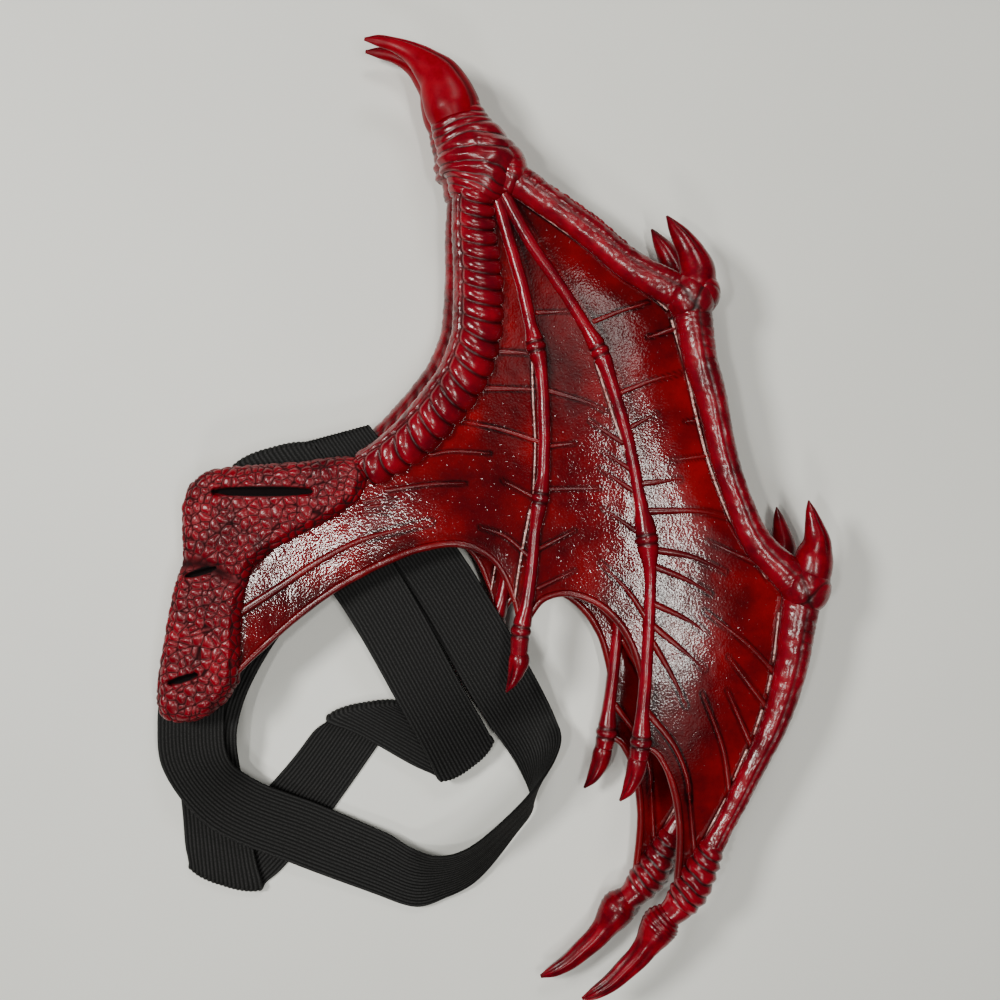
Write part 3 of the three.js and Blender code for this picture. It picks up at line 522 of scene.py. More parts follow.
# The wing's limbs. A row is across and up in percent of the wing, then the share of the full width
# and depth. Sizes are in mm, angles in degrees, steps and sides set how fine the mesh is.
arm = {
    "rows": [(46.9, 83.2, 0.82), (46.9, 79.8, 0.86), (47.4, 76.5, 0.95), (47.6, 72.2, 1), (47.2, 68.3, 1),
             (45.3, 64.6, 1), (42.2, 61.5, 0.98), (38.1, 58.4, 0.92), (34.2, 56.3, 0.82), (31, 55, 0.74)],
    "width": 33.5, "depth": 28.5, "steps": 330, "sides": 72, "scales": (6.5, 1.1),
    "firstPitch": 9.6, "lastPitch": 13.6, "scuteLift": 3, "scuteMiddle": 128, "scuteReach": 76, "scuteSag": 7.5,
    "seamAt": 52, "seamDepth": 1.2,
}


def scutes(along, angle, length, flat):
    # overlapping rounded plates down the inner side, each one longer than the last
    count = round(2 * length / (arm["firstPitch"] + arm["lastPitch"]))
    growth = (arm["lastPitch"] - arm["firstPitch"]) / length
    across = np.clip((angle - math.radians(arm["scuteMiddle"])) / math.radians(arm["scuteReach"]), -1, 1)
    sag = along + arm["scuteSag"] * across ** 2 + 0.8 * noise(flat, 16, 2)
    number = np.log(np.maximum(1 + growth * sag / arm["firstPitch"], 0.05)) * count
    share = number / math.log(1 + growth * length / arm["firstPitch"]) % 1
    swell = np.where(share < 0.64, share / 0.64, (1 - share) / 0.36)
    sheet = np.sqrt(np.clip(1 - across ** 4, 0, 1))
    onStrip = rise(angle, 54, 44) + rise(angle, 300, 316)
    seam = bell(angle, math.radians(arm["seamAt"]), 0.07)
    lift = (arm["scuteLift"] * (1 - (1 - swell) ** 2.4) + 0.9 * (1 - across ** 2)) * sheet
    lift = lift + 0.25 * noise(flat, 5, 3) - arm["seamDepth"] * seam + 0.3 * onStrip
    # the gaps between plates and the seam are darkened: wash and painted shade
    wash = 0.9 * smoothstep(0.3, 0.0, swell) * sheet + 0.8 * seam + 0.1 * onStrip
    return lift, {"wash": np.clip(wash, 0, 0.95), "scaly": 0.55 * np.clip(onStrip, 0, 1)}


# Folds: how many, and the shares of the wrist's length between which they lie.
wrist = {
    "rows": [(44, 92.2, 0.76), (45.3, 90, 0.88), (46.9, 87.6, 1.04), (47.8, 85.2, 1.02), (47.1, 82.6, 0.72)],
    "width": 50, "depth": 34.4, "steps": 120, "sides": 96,
    "folds": [(5, 0, 0.36), (2.6, 0.36, 0.76), (3, 0.76, 1)], "fineHeight": 1.1, "broadHeight": 1.5, "lobe": 4.5,
}
# the lump beside the wrist, where the leading bone sets off
wristLump = {"rows": [(50.6, 88.6, 0.55), (52.1, 87, 0.95), (52.7, 85.2, 1), (51.7, 83.3, 0.75)],
             "width": 24, "depth": 29, "steps": 50, "sides": 52}


def wristFolds(along, angle, length, flat):
    # slanting skin folds, fine at both ends and broad in the middle
    share = along / length
    broad = smoothstep(0.3, 0.48, share) * (1 - smoothstep(0.7, 0.8, share))
    slant = (3 + 5 * broad) * np.cos(angle) + 1.5 * noise(flat, 17, 5) + 0.7 * noise(flat, 8, 6)
    phase = slant / (5 + 4 * broad)
    for folds, start, end in wrist["folds"]:
        phase = phase + folds * np.clip((share - start) / (end - start), 0, 1)
    fold = zigzag(phase)
    lobe = wrist["lobe"] * bell(share, 0.66, 0.16) * np.clip(-np.cos(angle + 0.4), 0, 1)
    lift = (wrist["fineHeight"] + wrist["broadHeight"] * broad) * np.sqrt(fold) - 0.9
    lift = lift + 0.5 * noise(flat, 6, 8) + lobe
    # the fold bottoms are darkened: wash and painted shade
    return lift, {"wash": 0.9 * (1 - smoothstep(0.0, 0.3 - 0.12 * broad, fold))}


horn = {
    "rows": [(44.6, 90.8, 0.9), (44, 92.1, 1), (43.1, 93.8, 0.95), (41.9, 95.4, 0.8), (40.1, 96.7, 0.6),
             (38, 97.9, 0.4), (35.6, 98.7, 0.27), (33, 99.2, 0.21), (30.9, 99.4, 0.06)],
    "width": 40, "depth": 34, "steps": 120, "sides": 56, "grooveAt": 40, "grooveDepth": 0.9,
}


def hornStreaks(along, angle, length, flat):
    # a smooth horn with one long groove and faint streaks
    groove = bell(angle, math.radians(horn["grooveAt"]) + 0.25 * along / length, 0.1)
    streak = noise(np.stack([along / 9, angle * 2.4, 0 * angle], -1), 1, 11)
    lift = 0.25 * (streak + bell(angle, math.radians(150), 0.5)) - horn["grooveDepth"] * groove
    # the edge on one side is darkened: painted shade
    edge = rise(angle, 30, 0) + rise(angle, 310, 350)
    wash = 0.7 * groove + 0.55 * edge + 0.3 * smoothstep(0.75, 1, along / length)
    return lift + 0.2 * bell(along, 10, 6), {"wash": np.clip(wash, 0, 0.9)}


spars = {
    "spar_1": [(49.4, 86.2, 1.05), (53.5, 84.6, 1), (57.6, 82.6, 0.94), (64.3, 79.2, 0.92), (70.1, 75.9, 0.96),
               (78, 72.8, 1.1)],
    "spar_2": [(79.2, 71.5, 1.2), (80.4, 66.5, 1.05), (82.2, 61.9, 0.94), (83.7, 57, 0.86), (86, 51.9, 0.82),
               (89, 47.4, 0.92), (94.6, 43.4, 1.1)],
    "spar_3": [(95.9, 42.9, 1.15), (94.8, 38.6, 1.12), (93.9, 34.5, 1), (91.6, 29, 0.82), (87.8, 23.5, 0.68),
               (84.9, 19.4, 0.62), (81.4, 14.8, 0.68)],
}
sparSize = {"width": 24, "depth": 21, "steps": 190, "sides": 52, "scales": (4.6, 0.9), "seamAt": 102,
            "seamDepth": 0.8, "ringPitch": 4.2, "ringHeight": 0.4, "creasePitch": 8.5, "creaseDepth": 0.7}


def sparBand(along, angle, length, flat):
    # a smooth shiny bone on the inner side and a rough band on the outer one, with a seam between
    outer = rise(angle, 96, 112) * (1 - rise(angle, 262, 285))
    seam = bell(angle, math.radians(sparSize["seamAt"]), 0.09)
    bend = 0.7 * noise(flat, 12, 21) + 0.65 * noise(flat, 4.2, 22)
    # fine rings at both ends, and wider creases across the outer band below a knuckle
    ends = np.clip(np.exp(-along / 9) + np.exp(-(length - along) / 9), 0, 1)
    ring = np.sin((along + 2 * np.cos(angle)) * 2 * math.pi / sparSize["ringPitch"])
    phase = (along + 3 * np.cos(angle) + 2 * bend) / sparSize["creasePitch"]
    crease = bell(phase % 1, 0.5, 0.09) * outer * smoothstep(62, 30, along)
    lift = 0.45 * bend - sparSize["seamDepth"] * seam * (0.6 + 0.4 * bend) + 0.3 * outer
    lift = lift + sparSize["ringHeight"] * ring * ends - sparSize["creaseDepth"] * crease
    # the underside and lower flanks of the bone are darkened: painted shade
    under = rise(angle, 280, 330) + rise(angle, 30, 4)
    wash = 0.6 * seam + 0.12 * outer + 0.45 * under + 0.35 * np.clip(-ring, 0, 1) * ends + 0.5 * crease
    return lift, {"wash": np.clip(wash, 0, 0.9), "scaly": 0.42 * outer}


# The heel is the flesh that carries the claw over to the bone.
knuckles = {
    "knuckle_1": {"spot": firstKnuckle, "turn": -40,
                  "heel": [(78.4, 76, 0.62), (79.9, 74.6, 0.95), (81.1, 72.8, 1), (81.3, 70.9, 0.5)]},
    "knuckle_2": {"spot": (96.1, 42.7), "turn": -60,
                  "heel": [(96, 46.8, 0.6), (96.8, 45.4, 0.92), (97.3, 43.6, 1), (96.9, 42, 0.5)]},
}
knuckleSize = {"width": 37, "depth": 33, "steps": 60, "sides": 60, "scales": (5.5, 0.8), "crossDepth": 1.2,
               "ringDepth": 0.5}
heelSize = {"width": 25, "depth": 25, "steps": 60, "sides": 60}


def knuckleCreases(along, angle, length, flat):
    cross = bell(angle, math.radians(80) - 0.5 * (along / length - 0.5), 0.11)
    ring = bell(along, 0.6 * length - 2.5 * np.cos(3 * angle), 1.3)
    lump = noise(flat, 9, 31)
    lift = 0.9 * lump - knuckleSize["crossDepth"] * cross - knuckleSize["ringDepth"] * ring
    # the creases are darkened: wash and painted shade
    return lift, {"wash": np.clip(0.7 * cross + 0.7 * ring - 0.25 * lump + 0.08, 0, 0.9), "scaly": 0.3}


def heelWrinkles(along, angle, length, flat):
    # flesh drawn up into short wrinkles round the root of the claw
    lump = noise(flat, 8, 33)
    wrinkle = bell((along / 9 + 0.6 * np.cos(angle) + 0.6 * lump) % 1, 0.5, 0.1)
    ends = np.sqrt(np.clip(np.sin(along / length * math.pi), 0.05, 1))
    # the wrinkles are darkened: wash and painted shade
    return 0.4 * lump - 0.6 * wrinkle - 3 * (1 - ends), {"wash": 0.5 * wrinkle, "scaly": 0.15}


tipKnuckle = {
    "rows": [(82.6, 16.4, 0.64), (80.6, 13.5, 0.9), (79, 11.5, 1), (77.3, 9.9, 0.84), (75.6, 8.8, 0.66)],
    "width": 26, "depth": 24, "steps": 130, "sides": 60, "foldPitch": 8.2, "foldHeight": 2.5,
}


def tipFolds(along, angle, length, flat):
    # deep folds over the last knuckle, then a smooth neck
    fold = zigzag((along + 1.6 * noise(flat, 11, 41) + 2.2 * np.cos(angle + 0.6)) / tipKnuckle["foldPitch"])
    folded = smoothstep(0, 0.06, along / length) * (1 - smoothstep(0.72, 0.84, along / length))
    lift = folded * (tipKnuckle["foldHeight"] * np.sqrt(fold) - 1.3) + 0.25 * noise(flat, 5, 42)
    # the fold bottoms are darkened: wash and painted shade
    return lift, {"wash": 0.92 * folded * (1 - smoothstep(0.02, 0.4, fold))}


tipClaw = {
    "rows": [(77.2, 10.2, 0.66), (76.3, 9.4, 0.7), (75, 8.3, 1.08), (73.9, 7.1, 1), (72.8, 5.9, 0.78),
             (71.6, 4.8, 0.7), (69.7, 3.5, 0.62), (67.4, 2, 0.5), (65, 0.9, 0.34), (63.2, 0.3, 0.08)],
    "width": 25, "depth": 22, "steps": 110, "sides": 52,
}


def tipClawRidges(along, angle, length, flat):
    # lengthwise horn ridges that fade at the root, and a few fine rings round the root
    ridges = np.sin(angle * 6 + 0.8 * np.sin(along / 17)) * smoothstep(0.24, 0.42, along / length)
    rings = np.sin((along + 1.4 * np.cos(angle)) * 2 * math.pi / 3.2) * bell(along, 14, 8)
    flanks = smoothstep(0.5, 0.0, np.abs(np.sin(angle))) * smoothstep(0.1, 0.3, along / length)
    outer = rise(angle, 150, 190) * (1 - rise(angle, 230, 260))
    lift = 0.45 * ridges + 0.5 * rings + 0.5 * noise(flat, 2.6, 51) * outer
    # the grooves are darkened with wash and painted shade, the flanks with painted shade
    wash = 0.5 * (np.clip(-ridges, 0, 1) + np.clip(-rings, 0, 1) + outer) + 0.4 * flanks
    return lift, {"wash": np.clip(wash, 0, 0.9)}


knuckleClaws = {
    "knuckle_claw_1": [(79.6, 72.9, 1.4), (80.1, 75.2, 1.34), (79.3, 77, 1.04), (77.8, 78.8, 0.74),
                       (76.5, 80.1, 0.4), (75.6, 81, 0.06)],
    "knuckle_claw_2": [(96.8, 43.2, 1.4), (97.4, 45.8, 1.38), (97.8, 47.6, 1), (97.4, 49.3, 0.66),
                       (96.9, 50.8, 0.36), (96.6, 51.8, 0.06)],
}
knuckleClawSize = {"width": 20, "depth": 20, "steps": 80, "sides": 44}
fingerClaws = {
    "inner_claw": [(53.8, 36.6, 0.8), (53.8, 35.4, 1), (53.4, 34.3, 0.84), (52.8, 33.2, 0.54),
                   (51.9, 32.1, 0.1)],
    "middle_claw": [(71.5, 25.9, 0.8), (71.3, 24.8, 0.98), (70.8, 23.4, 0.88), (69.9, 22, 0.6),
                    (68.7, 20.9, 0.1)],
}
fingerClawSize = {"width": 15, "depth": 14, "steps": 50, "sides": 36}


def clawGroove(along, angle, length, flat):
    share = along / length
    groove = bell(angle, math.radians(60), 0.14) * smoothstep(0.2, 0.5, share)
    lift = 0.25 * noise(flat, 7, 61) - 0.8 * groove - 0.4 * bell(along, 0.1 * length, 1.6)
    flank = smoothstep(0.6, 0.0, np.abs(np.sin(angle)))
    # the groove is darkened with wash and painted shade, the flanks with painted shade
    wash = 0.7 * groove + 0.3 * np.exp(-share / 0.12) + 0.15 * flank + 0.4 * smoothstep(0.8, 1, share)
    return lift, {"wash": np.clip(wash, 0, 0.9)}


fingers = {
    "inner_finger": {
        "rows": [(50.2, 83.6, 1.06), (52.4, 78.3, 1), (54.3, 73.7, 1), (55.6, 69.6, 1.05), (56.3, 67.5, 1.5),
                 (57.1, 64.8, 1), (57.5, 59.9, 1), (57.4, 54.6, 1), (56.9, 52, 1.35), (56.2, 48.9, 0.96),
                 (55.6, 44.5, 0.98), (54.9, 41, 1.15), (54.1, 38.4, 1.5), (53.8, 36, 1.3)],
        "steps": 330, "knobs": [(56.3, 67.5), (56.9, 52), (54.1, 38.4)],
    },
    "middle_finger": {
        "rows": [(51.3, 83.6, 1.06), (55.4, 78.3, 1), (59.9, 73.7, 1), (63.5, 69.7, 1.05), (65.7, 67, 1.45),
                 (67.6, 63.4, 1), (69.9, 57.8, 1), (71.6, 51.8, 1.05), (72.6, 47.8, 1.8), (73.1, 44.3, 1),
                 (72.9, 38.6, 0.98), (72.4, 33, 1), (72, 29.4, 1.15), (71.8, 27, 1.65), (71.5, 25.3, 1.45)],
        "steps": 380, "knobs": [(65.7, 67), (72.6, 47.8), (71.8, 27)],
    },
}
fingerSize = {"width": 9.4, "depth": 11, "sides": 26, "collarAway": 3.4, "collarDepth": 0.7}


def knobCollars(knobs):
    # every knob stands between two collars
    def relief(along, angle, length, flat):
        lift, wash = 0.22 * noise(flat, 8, 71), 0
        for middle in spot(knobs):
            away = np.linalg.norm(flat[..., :2] - middle[:2], axis=-1).min(axis=1, keepdims=True)
            collar = bell(away, fingerSize["collarAway"], 1.1)
            lift = lift - fingerSize["collarDepth"] * collar + 0.5 * bell(away, 0, 1.7)
            wash = wash + 0.75 * bell(away, fingerSize["collarAway"], 1.4)
        # both flanks, where the finger meets the skin, are darkened: painted shade
        under = rise(angle, 330, 350) + rise(angle, 20, 0) + bell(angle, math.pi, 0.4)
        return lift, {"wash": np.clip(wash + 0.6 * under, 0, 0.9)}
    return relief


def limbForm(form, relief, detail):
    steps = round(form["steps"] * detail)
    rows = form["rows"]
    points = smoothPath(spot(rows), steps)
    wide = smoothPath(np.array([[row[2], 0, index] for index, row in enumerate(rows)], float), steps)[:, 0]
    half = np.maximum(wide, 0.03) / 2
    sides = max(12, round(form["sides"] * detail))
    return sweptForm(points, form["width"] * half, form["depth"] * half, sides, relief)


def knuckleForm(knuckle, detail):
    # a ball swept pole to pole, its poles laid along the limb so that the creases run with it
    turn = math.radians(knuckle["turn"])
    swing = np.linspace(-math.pi / 2, math.pi / 2, round(knuckleSize["steps"] * detail) + 1)
    along = np.sin(swing)[:, None] * knuckleSize["width"] / 2 * np.array([math.cos(turn), math.sin(turn), 0])
    half = np.maximum(np.cos(swing), 0.02) / 2
    ball = sweptForm(spot([knuckle["spot"]])[0] + along, knuckleSize["width"] * half, knuckleSize["depth"] * half,
                     round(knuckleSize["sides"] * detail), knuckleCreases)
    return joined([ball, limbForm({**heelSize, "rows": knuckle["heel"]}, heelWrinkles, detail)])


# Skins: a sheet between the bones on its left and right, ending in a curved rim. Along and over are
# the mesh steps; sag and dip are in mm, the dip growing from one share of the width to another.
innerRim = [(11.2, 33.6), (16, 36.8), (21.6, 40.2), (27.5, 43.1), (33.4, 45.3), (39.3, 46.9), (44.6, 47.4),
            (48.4, 46.6), (51, 45), (53, 42), (54.2, 38.8)]
middleRim = [(54.8, 39.2), (57.2, 41.6), (60.6, 42.3), (64.6, 41.6), (68, 39.8), (70.4, 37.2), (71.8, 34),
             (72.3, 31)]
outerRim = [(71.7, 26.6), (74, 26), (75.8, 24), (77, 21.4), (77.6, 18.4), (77.6, 15.5), (77.3, 12.8),
            (77.2, 10.6)]
padSide = [(28, 51), (18, 47.4), (13.6, 44), (12, 39)]
outerEdge = (spars["spar_1"][:5] + [knuckles["knuckle_1"]["spot"]] + spars["spar_2"][1:6]
             + [knuckles["knuckle_2"]["spot"]] + spars["spar_3"][1:] + [tipKnuckle["rows"][1], outerRim[-1]])
innerFinger, middleFinger = fingers["inner_finger"]["rows"], fingers["middle_finger"]["rows"]
skins = {
    "inner_membrane": {
        "left": arm["rows"][:9] + padSide + [innerRim[0]], "right": innerFinger[:12] + [innerRim[-1]],
        "rim": innerRim, "along": 210, "over": 120, "sag": 1.2, "dip": 0.6, "dipFrom": 0.9, "dipTo": 0.5,
    },
    "middle_membrane": {
        "left": innerFinger[:12] + [middleRim[0]], "right": middleFinger[:12] + [middleRim[-1]],
        "rim": middleRim, "along": 260, "over": 84, "sag": 0.3, "dip": 2, "dipFrom": 0.8, "dipTo": 0,
    },
    "outer_membrane": {
        "left": middleFinger[:13] + [outerRim[0]], "right": outerEdge,
        "rim": outerRim, "along": 290, "over": 96, "sag": 0.3, "dip": 6, "dipFrom": 0.2, "dipTo": 1,
    },
}
skinSize = {"thickness": 3, "rimWidth": 6.2, "ripple": 0.3, "grainRipple": 0.05}
# Veins and lips as pixels of the photo, each with its width in mm at its thick end.
veins = {
    "inner_membrane": [
        (4.2, [(498, 350), (530, 352)]), (4.2, [(485, 387), (537, 388)]),
        (3.6, [(537, 440), (500, 428), (462, 420)]),
        (2.6, [(432, 453), (450, 450), (490, 452)]), (3.4, [(388, 489), (430, 483), (465, 482)]),
        (3.4, [(535, 497), (515, 486), (503, 480)]), (3.6, [(530, 557), (505, 535), (480, 526)]),
        (2.2, [(364, 500), (380, 497), (396, 498)]), (2, [(366, 506), (382, 504), (394, 505)]),
        (2, [(364, 513), (378, 511), (390, 513)]),
        (6.4, [(238, 612), (280, 585), (320, 559), (360, 539), (400, 528), (430, 521)]),
    ],
    "middle_membrane": [
        (3.2, [(540, 311), (570, 310)]), (3.6, [(551, 390), (590, 402), (605, 410)]),
        (3.8, [(620, 440), (590, 420)]), (3.8, [(632, 469), (604, 451)]), (3.8, [(632, 489), (600, 467)]),
        (3.8, [(636, 530), (603, 507)]), (3.2, [(548, 445), (575, 442)]), (3.2, [(550, 488), (600, 487)]),
        (3.2, [(540, 547), (575, 529)]), (2.8, [(540, 586), (575, 569)]),
        (4.6, [(645, 615), (628, 590), (601, 562)]),
    ],
    "outer_membrane": [
        (3.6, [(597, 319), (620, 310), (648, 301)]), (3.6, [(672, 328), (648, 336)]),
        (3.8, [(624, 390), (650, 380), (680, 372)]), (3.4, [(634, 424), (657, 412)]),
        (4.6, [(645, 482), (680, 478)]),
        (5.2, [(648, 510), (700, 510), (733, 517)]), (5.4, [(656, 549), (690, 555), (725, 570)]),
        (5.2, [(654, 565), (690, 580), (710, 592)]), (5, [(655, 603), (690, 620), (706, 632)]),
        (5, [(655, 626), (690, 655), (705, 668)]), (4.8, [(655, 645), (675, 680), (686, 705)]),
        (5, [(650, 714), (675, 746), (688, 779), (690, 800)]), (3.4, [(720, 453), (672, 459)]),
        (3, [(702, 419), (685, 420)]), (3.8, [(757, 562), (708, 540)]), (4, [(775, 671), (750, 645), (705, 610)]),
        (4, [(766, 704), (729, 656)]), (4, [(752, 743), (728, 690)]), (4, [(731, 791), (724, 749), (703, 693)]),
        (3.4, [(696, 852), (690, 796)]),
    ],
}
lips = {
    "inner_membrane": [
        (2.2, [(502, 200), (518, 262), (530, 318), (534, 344)]),
        (2, [(532, 360), (533, 400), (535, 440), (533, 494)]),
        (2.2, [(530, 508), (520, 560), (514, 600)]),
    ],
    "middle_membrane": [
        (2.2, [(510, 200), (540, 248), (566, 290), (590, 338)]),
        (2.2, [(596, 362), (612, 412), (628, 462), (636, 520)]),
    ],
    "outer_membrane": [
        (2.6, [(520, 198), (560, 226), (610, 262), (648, 290), (668, 308)]),
        (2.6, [(672, 318), (686, 366), (698, 420), (712, 470), (736, 528), (768, 578)]),
        (2.4, [(781, 612), (778, 640), (775, 662)]), (2.4, [(773, 675), (769, 693)]),
        (2.4, [(764, 710), (756, 735)]),
        (2.4, [(749, 750), (742, 766), (735, 782)]), (2.4, [(728, 800), (716, 822), (704, 845)]),
    ],
}
# Root is how far in mm a ridge starts back under the bone, sink the share of its half width below the skin.
veinShape = {"share": 1, "taper": 0.95, "sink": 0.15, "root": 3.5, "dull": 1.0, "pale": 0.0}
# lips are painted pale along their length: a painted highlight
lipShape = {"share": 0.65, "taper": 0.3, "sink": -0.6, "root": 0, "dull": 0.0, "pale": 1.0}


def awayFrom(points, line):
    # distance of each point from a line in plan, in mm
    best = np.full(len(points), 1e9)
    for start, end in zip(line[:-1], line[1:]):
        step = end - start
        share = np.clip(((points - start) @ step) / max(step @ step, 1e-9), 0, 1)
        best = np.minimum(best, np.linalg.norm(points - start - share[:, None] * step, axis=1))
    return best


def skinSheet(name, detail):
    skin = skins[name]
    rows, columns = round(skin["along"] * detail) + 1, round(skin["over"] * detail) + 1
    left, right = evenPath(spot(skin["left"]), rows), evenPath(spot(skin["right"]), rows)
    rim = evenPath(spot(skin["rim"]), columns)
    over = np.linspace(0, 1, columns)[None, :, None]
    along = np.linspace(0, 1, rows)[:, None, None]
    bend = rim[None] - (rim[0] * (1 - over) + rim[-1] * over)
    flat = (left[:, None] * (1 - over) + right[:, None] * over + bend * along).reshape(-1, 3)
    flat[:, 2] = middleHeight(flat[:, 0], flat[:, 1])
    share = np.tile(over.ravel(), rows)
    width = np.repeat(np.linalg.norm(right - left, axis=1), columns)
    fromLeft, fromRight = share * width, (1 - share) * width
    fromRim = awayFrom(flat[:, :2], rim[:, :2])
    hollow = 1 - np.exp(-np.minimum(fromLeft, fromRight) / 14)
    flat[:, 2] -= skin["sag"] * hollow * (1 - np.exp(-fromRim / 16))
    # each skin is level beside the middle finger and falls away from it
    fall = np.clip((share - skin["dipFrom"]) / (skin["dipTo"] - skin["dipFrom"]), 0, 1)
    flat[:, 2] -= skin["dip"] * fall ** 2 * np.minimum(1, width / 70)
    level = flat * [1, 1, 0]
    flat[:, 2] += skinSize["ripple"] * noise(level, 38, 81) + skinSize["grainRipple"] * noise(level, 6, 82)
    # painted shade, with the wash, lies along the bones and the rim, where the skin is narrow and beside the
    # ridges; clouds of darker tone lie at random
    wash = 0.55 * (np.exp(-np.abs(fromLeft - 6) / 4.5) + np.exp(-np.abs(fromRight - 6) / 4.5))
    wash = wash + 0.3 * np.exp(-np.abs(fromRim - 5) / 3) + 0.42 * smoothstep(0.0, 0.7, noise(level, 42, 83))
    wash = wash + 0.35 * (1 - smoothstep(20, 50, width))
    for wide, pixels in veins[name] + lips[name]:
        away = awayFrom(flat[:, :2], smoothPath(spot(fromPhoto(pixels)), 8)[:, :2])
        wash = wash + 0.65 * bell(away, 0.5 * wide, 0.9)
    half = np.array([0, 0, skinSize["thickness"] / 2])
    faces = shellFaces(rows, columns).tolist()
    tree = BVHTree.FromPolygons((flat + half).tolist(), faces[:(rows - 1) * (columns - 1)])
    # the underside gets an even painted shade
    paint = {"wash": np.clip(np.concatenate([wash, wash * 0 + 0.3]), 0, 0.92)}
    return (np.vstack([flat + half, flat - half]), faces, paint), tree


def surfaceHeight(tree, points):
    heights = []
    for x, y, z in points:
        hit = tree.ray_cast(Vector((x, y, 200)), Vector((0, 0, -1)))[0]
        heights.append(hit.z if hit else z + skinSize["thickness"] / 2)
    return np.array(heights)


def ridgeForm(tree, pixels, wide, detail, shape):
    # a rounded ridge laid on the skin along a line, from under the bone and thinner towards its end
    line = spot(fromPhoto(pixels))
    line[0] += unit(line[0] - line[1]) * shape["root"]
    count = max(8, round(lengthsAlong(line)[-1] / 2.2 * detail))
    points = evenPath(line, count)
    points[:, 2] = surfaceHeight(tree, points)
    share = np.linspace(0, 1, count)
    half = np.maximum(wide * shape["share"] * 0.56 * (1 - shape["taper"] * share ** 1.9), 0.12)
    points[:, 2] -= half * shape["sink"]
    points, faces, _ = sweptForm(points, half, half * 0.92, max(6, round(12 * detail)))
    return points, faces, {"wash": 0.12 * shape["dull"], "dull": shape["dull"], "pale": shape["pale"]}


def rimBead(along, angle, length, flat):
    bead = bell(angle, math.radians(150), 0.22)
    # the groove along the bead is darkened: wash and painted shade
    return 0.3 * noise(flat, 10, 91) - 0.55 * bead, {"wash": np.clip(0.6 * bead + 0.1, 0, 1), "dull": 1.0}


def rimForm(rows, detail):
    points = evenPath(spot(rows), round(150 * detail))
    points[:, 2] = middleHeight(points[:, 0], points[:, 1])
    half = skinSize["rimWidth"] / 2 * (0.75 + 0.25 * np.sin(np.linspace(0, math.pi, len(points))))
    return sweptForm(points, half, half, max(8, round(20 * detail)), rimBead)


def skinForm(name, detail):
    sheet, tree = skinSheet(name, detail)
    parts = [sheet, rimForm(skins[name]["rim"], detail)]
    for ridges, shape in ((veins[name], veinShape), (lips[name], lipShape)):
        parts += [ridgeForm(tree, pixels, wide, detail, shape) for wide, pixels in ridges]
    return joined(parts)


# The pad. Voxel, depths and scales are in mm; the crease lies at a share of the pad's height.
pad = {"voxel": 0.95, "smoothing": 8, "scales": (6.8, 1.3), "creaseDepth": 3.2, "creaseUp": 0.55, "waist": 1.2,
       "unevenness": 0.7}
# slits, painted as dark lines of shade: width in mm, then both ends in percent of the wing
slitShadeLines = [(7, (8.8, 52.7), (23.6, 52.7)), (4.5, (4.8, 44), (9.3, 44.9)), (5, (2.4, 33.1), (6.8, 34.1))]


def makePad(prefix, place, detail):
    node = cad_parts[f"{prefix}_base_pad"]
    piece = newObject(f"{prefix}_base_pad_dressed", node.data.copy())
    piece.modifiers.new("weld", "WELD").merge_threshold = 0.01 * mm
    remesh = piece.modifiers.new("remesh", "REMESH")
    remesh.mode = "VOXEL"
    remesh.voxel_size = pad["voxel"] * mm / detail
    remesh.use_smooth_shade = True
    piece.modifiers.new("soften", "SMOOTH").iterations = round(pad["smoothing"] * detail)
    evaluated = piece.evaluated_get(bpy.context.evaluated_depsgraph_get())
    mesh = bpy.data.meshes.new_from_object(evaluated)
    piece.modifiers.clear()
    piece.data = mesh
    points = np.empty(len(mesh.vertices) * 3)
    mesh.vertices.foreach_get("co", points)
    points = points.reshape(-1, 3) / mm
    low, high = (np.array(corner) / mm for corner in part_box(f"{prefix}_base_pad"))
    across, up, deep = ((points - low) / (high - low)).T
    top = smoothstep(0.45, 0.9, deep)
    # the crease between the two lobes of the pad, in a shallow waist
    crease = bell(up, pad["creaseUp"] + 0.05 * np.sin(across * 9), 0.022) * smoothstep(0.46, 0.3, across)
    points[:, 2] -= top * (pad["creaseDepth"] * crease + pad["waist"] * bell(up, pad["creaseUp"], 0.09))
    points[:, 2] += top * pad["unevenness"] * noise(points * [1, 1, 0], 26, 101)
    mesh.vertices.foreach_set("co", (points * mm).ravel())
    slitShade = np.zeros(len(points))
    for wide, start, end in slitShadeLines:
        line = place(spot([start, end]))[:, :2]
        length = np.linalg.norm(line[1] - line[0])
        fromMiddle = (points[:, :2] - line.mean(0)) @ (line[1] - line[0]) / length ** 2 * 2
        half = wide * 0.5 * np.sqrt(np.clip(1.05 - fromMiddle ** 2, 0.02, 1))
        dark = 1 - smoothstep(half - 0.6, half + 1.2, awayFrom(points[:, :2], line))
        slitShade = np.maximum(slitShade, dark * top ** 0.2)
    # painted shade in the crease, in the slits and on the lower sides of the pad
    wash = np.clip(0.75 * crease * top + 1.1 * slitShade + 0.25 * (1 - top) + 0.1, 0, 1)
    scaly = smoothstep(low[2] + 2, low[2] + 6, points[:, 2]) * (1 - 0.85 * slitShade)
    paintMesh(mesh, {"wash": wash, "scaly": scaly})
    finishPiece(piece, padSkin, f"{prefix}_base_pad", pad["scales"])


# Spurs along two spars: how many, radius and length in mm, and their line as pixels of the photo.
spurRows = {
    "spar_1": {"count": 30, "radius": 2.3, "length": 3.6,
               "line": [(520, 166), (556, 190), (596, 218), (635, 252), (660, 274)]},
    "spar_2": {"count": 16, "radius": 1.6, "length": 3, "line": [(708, 334), (713, 358), (719, 386), (725, 412)]},
}
spurRaise, spurPath = 3, 40  # mm above the bone's middle, and points on the line


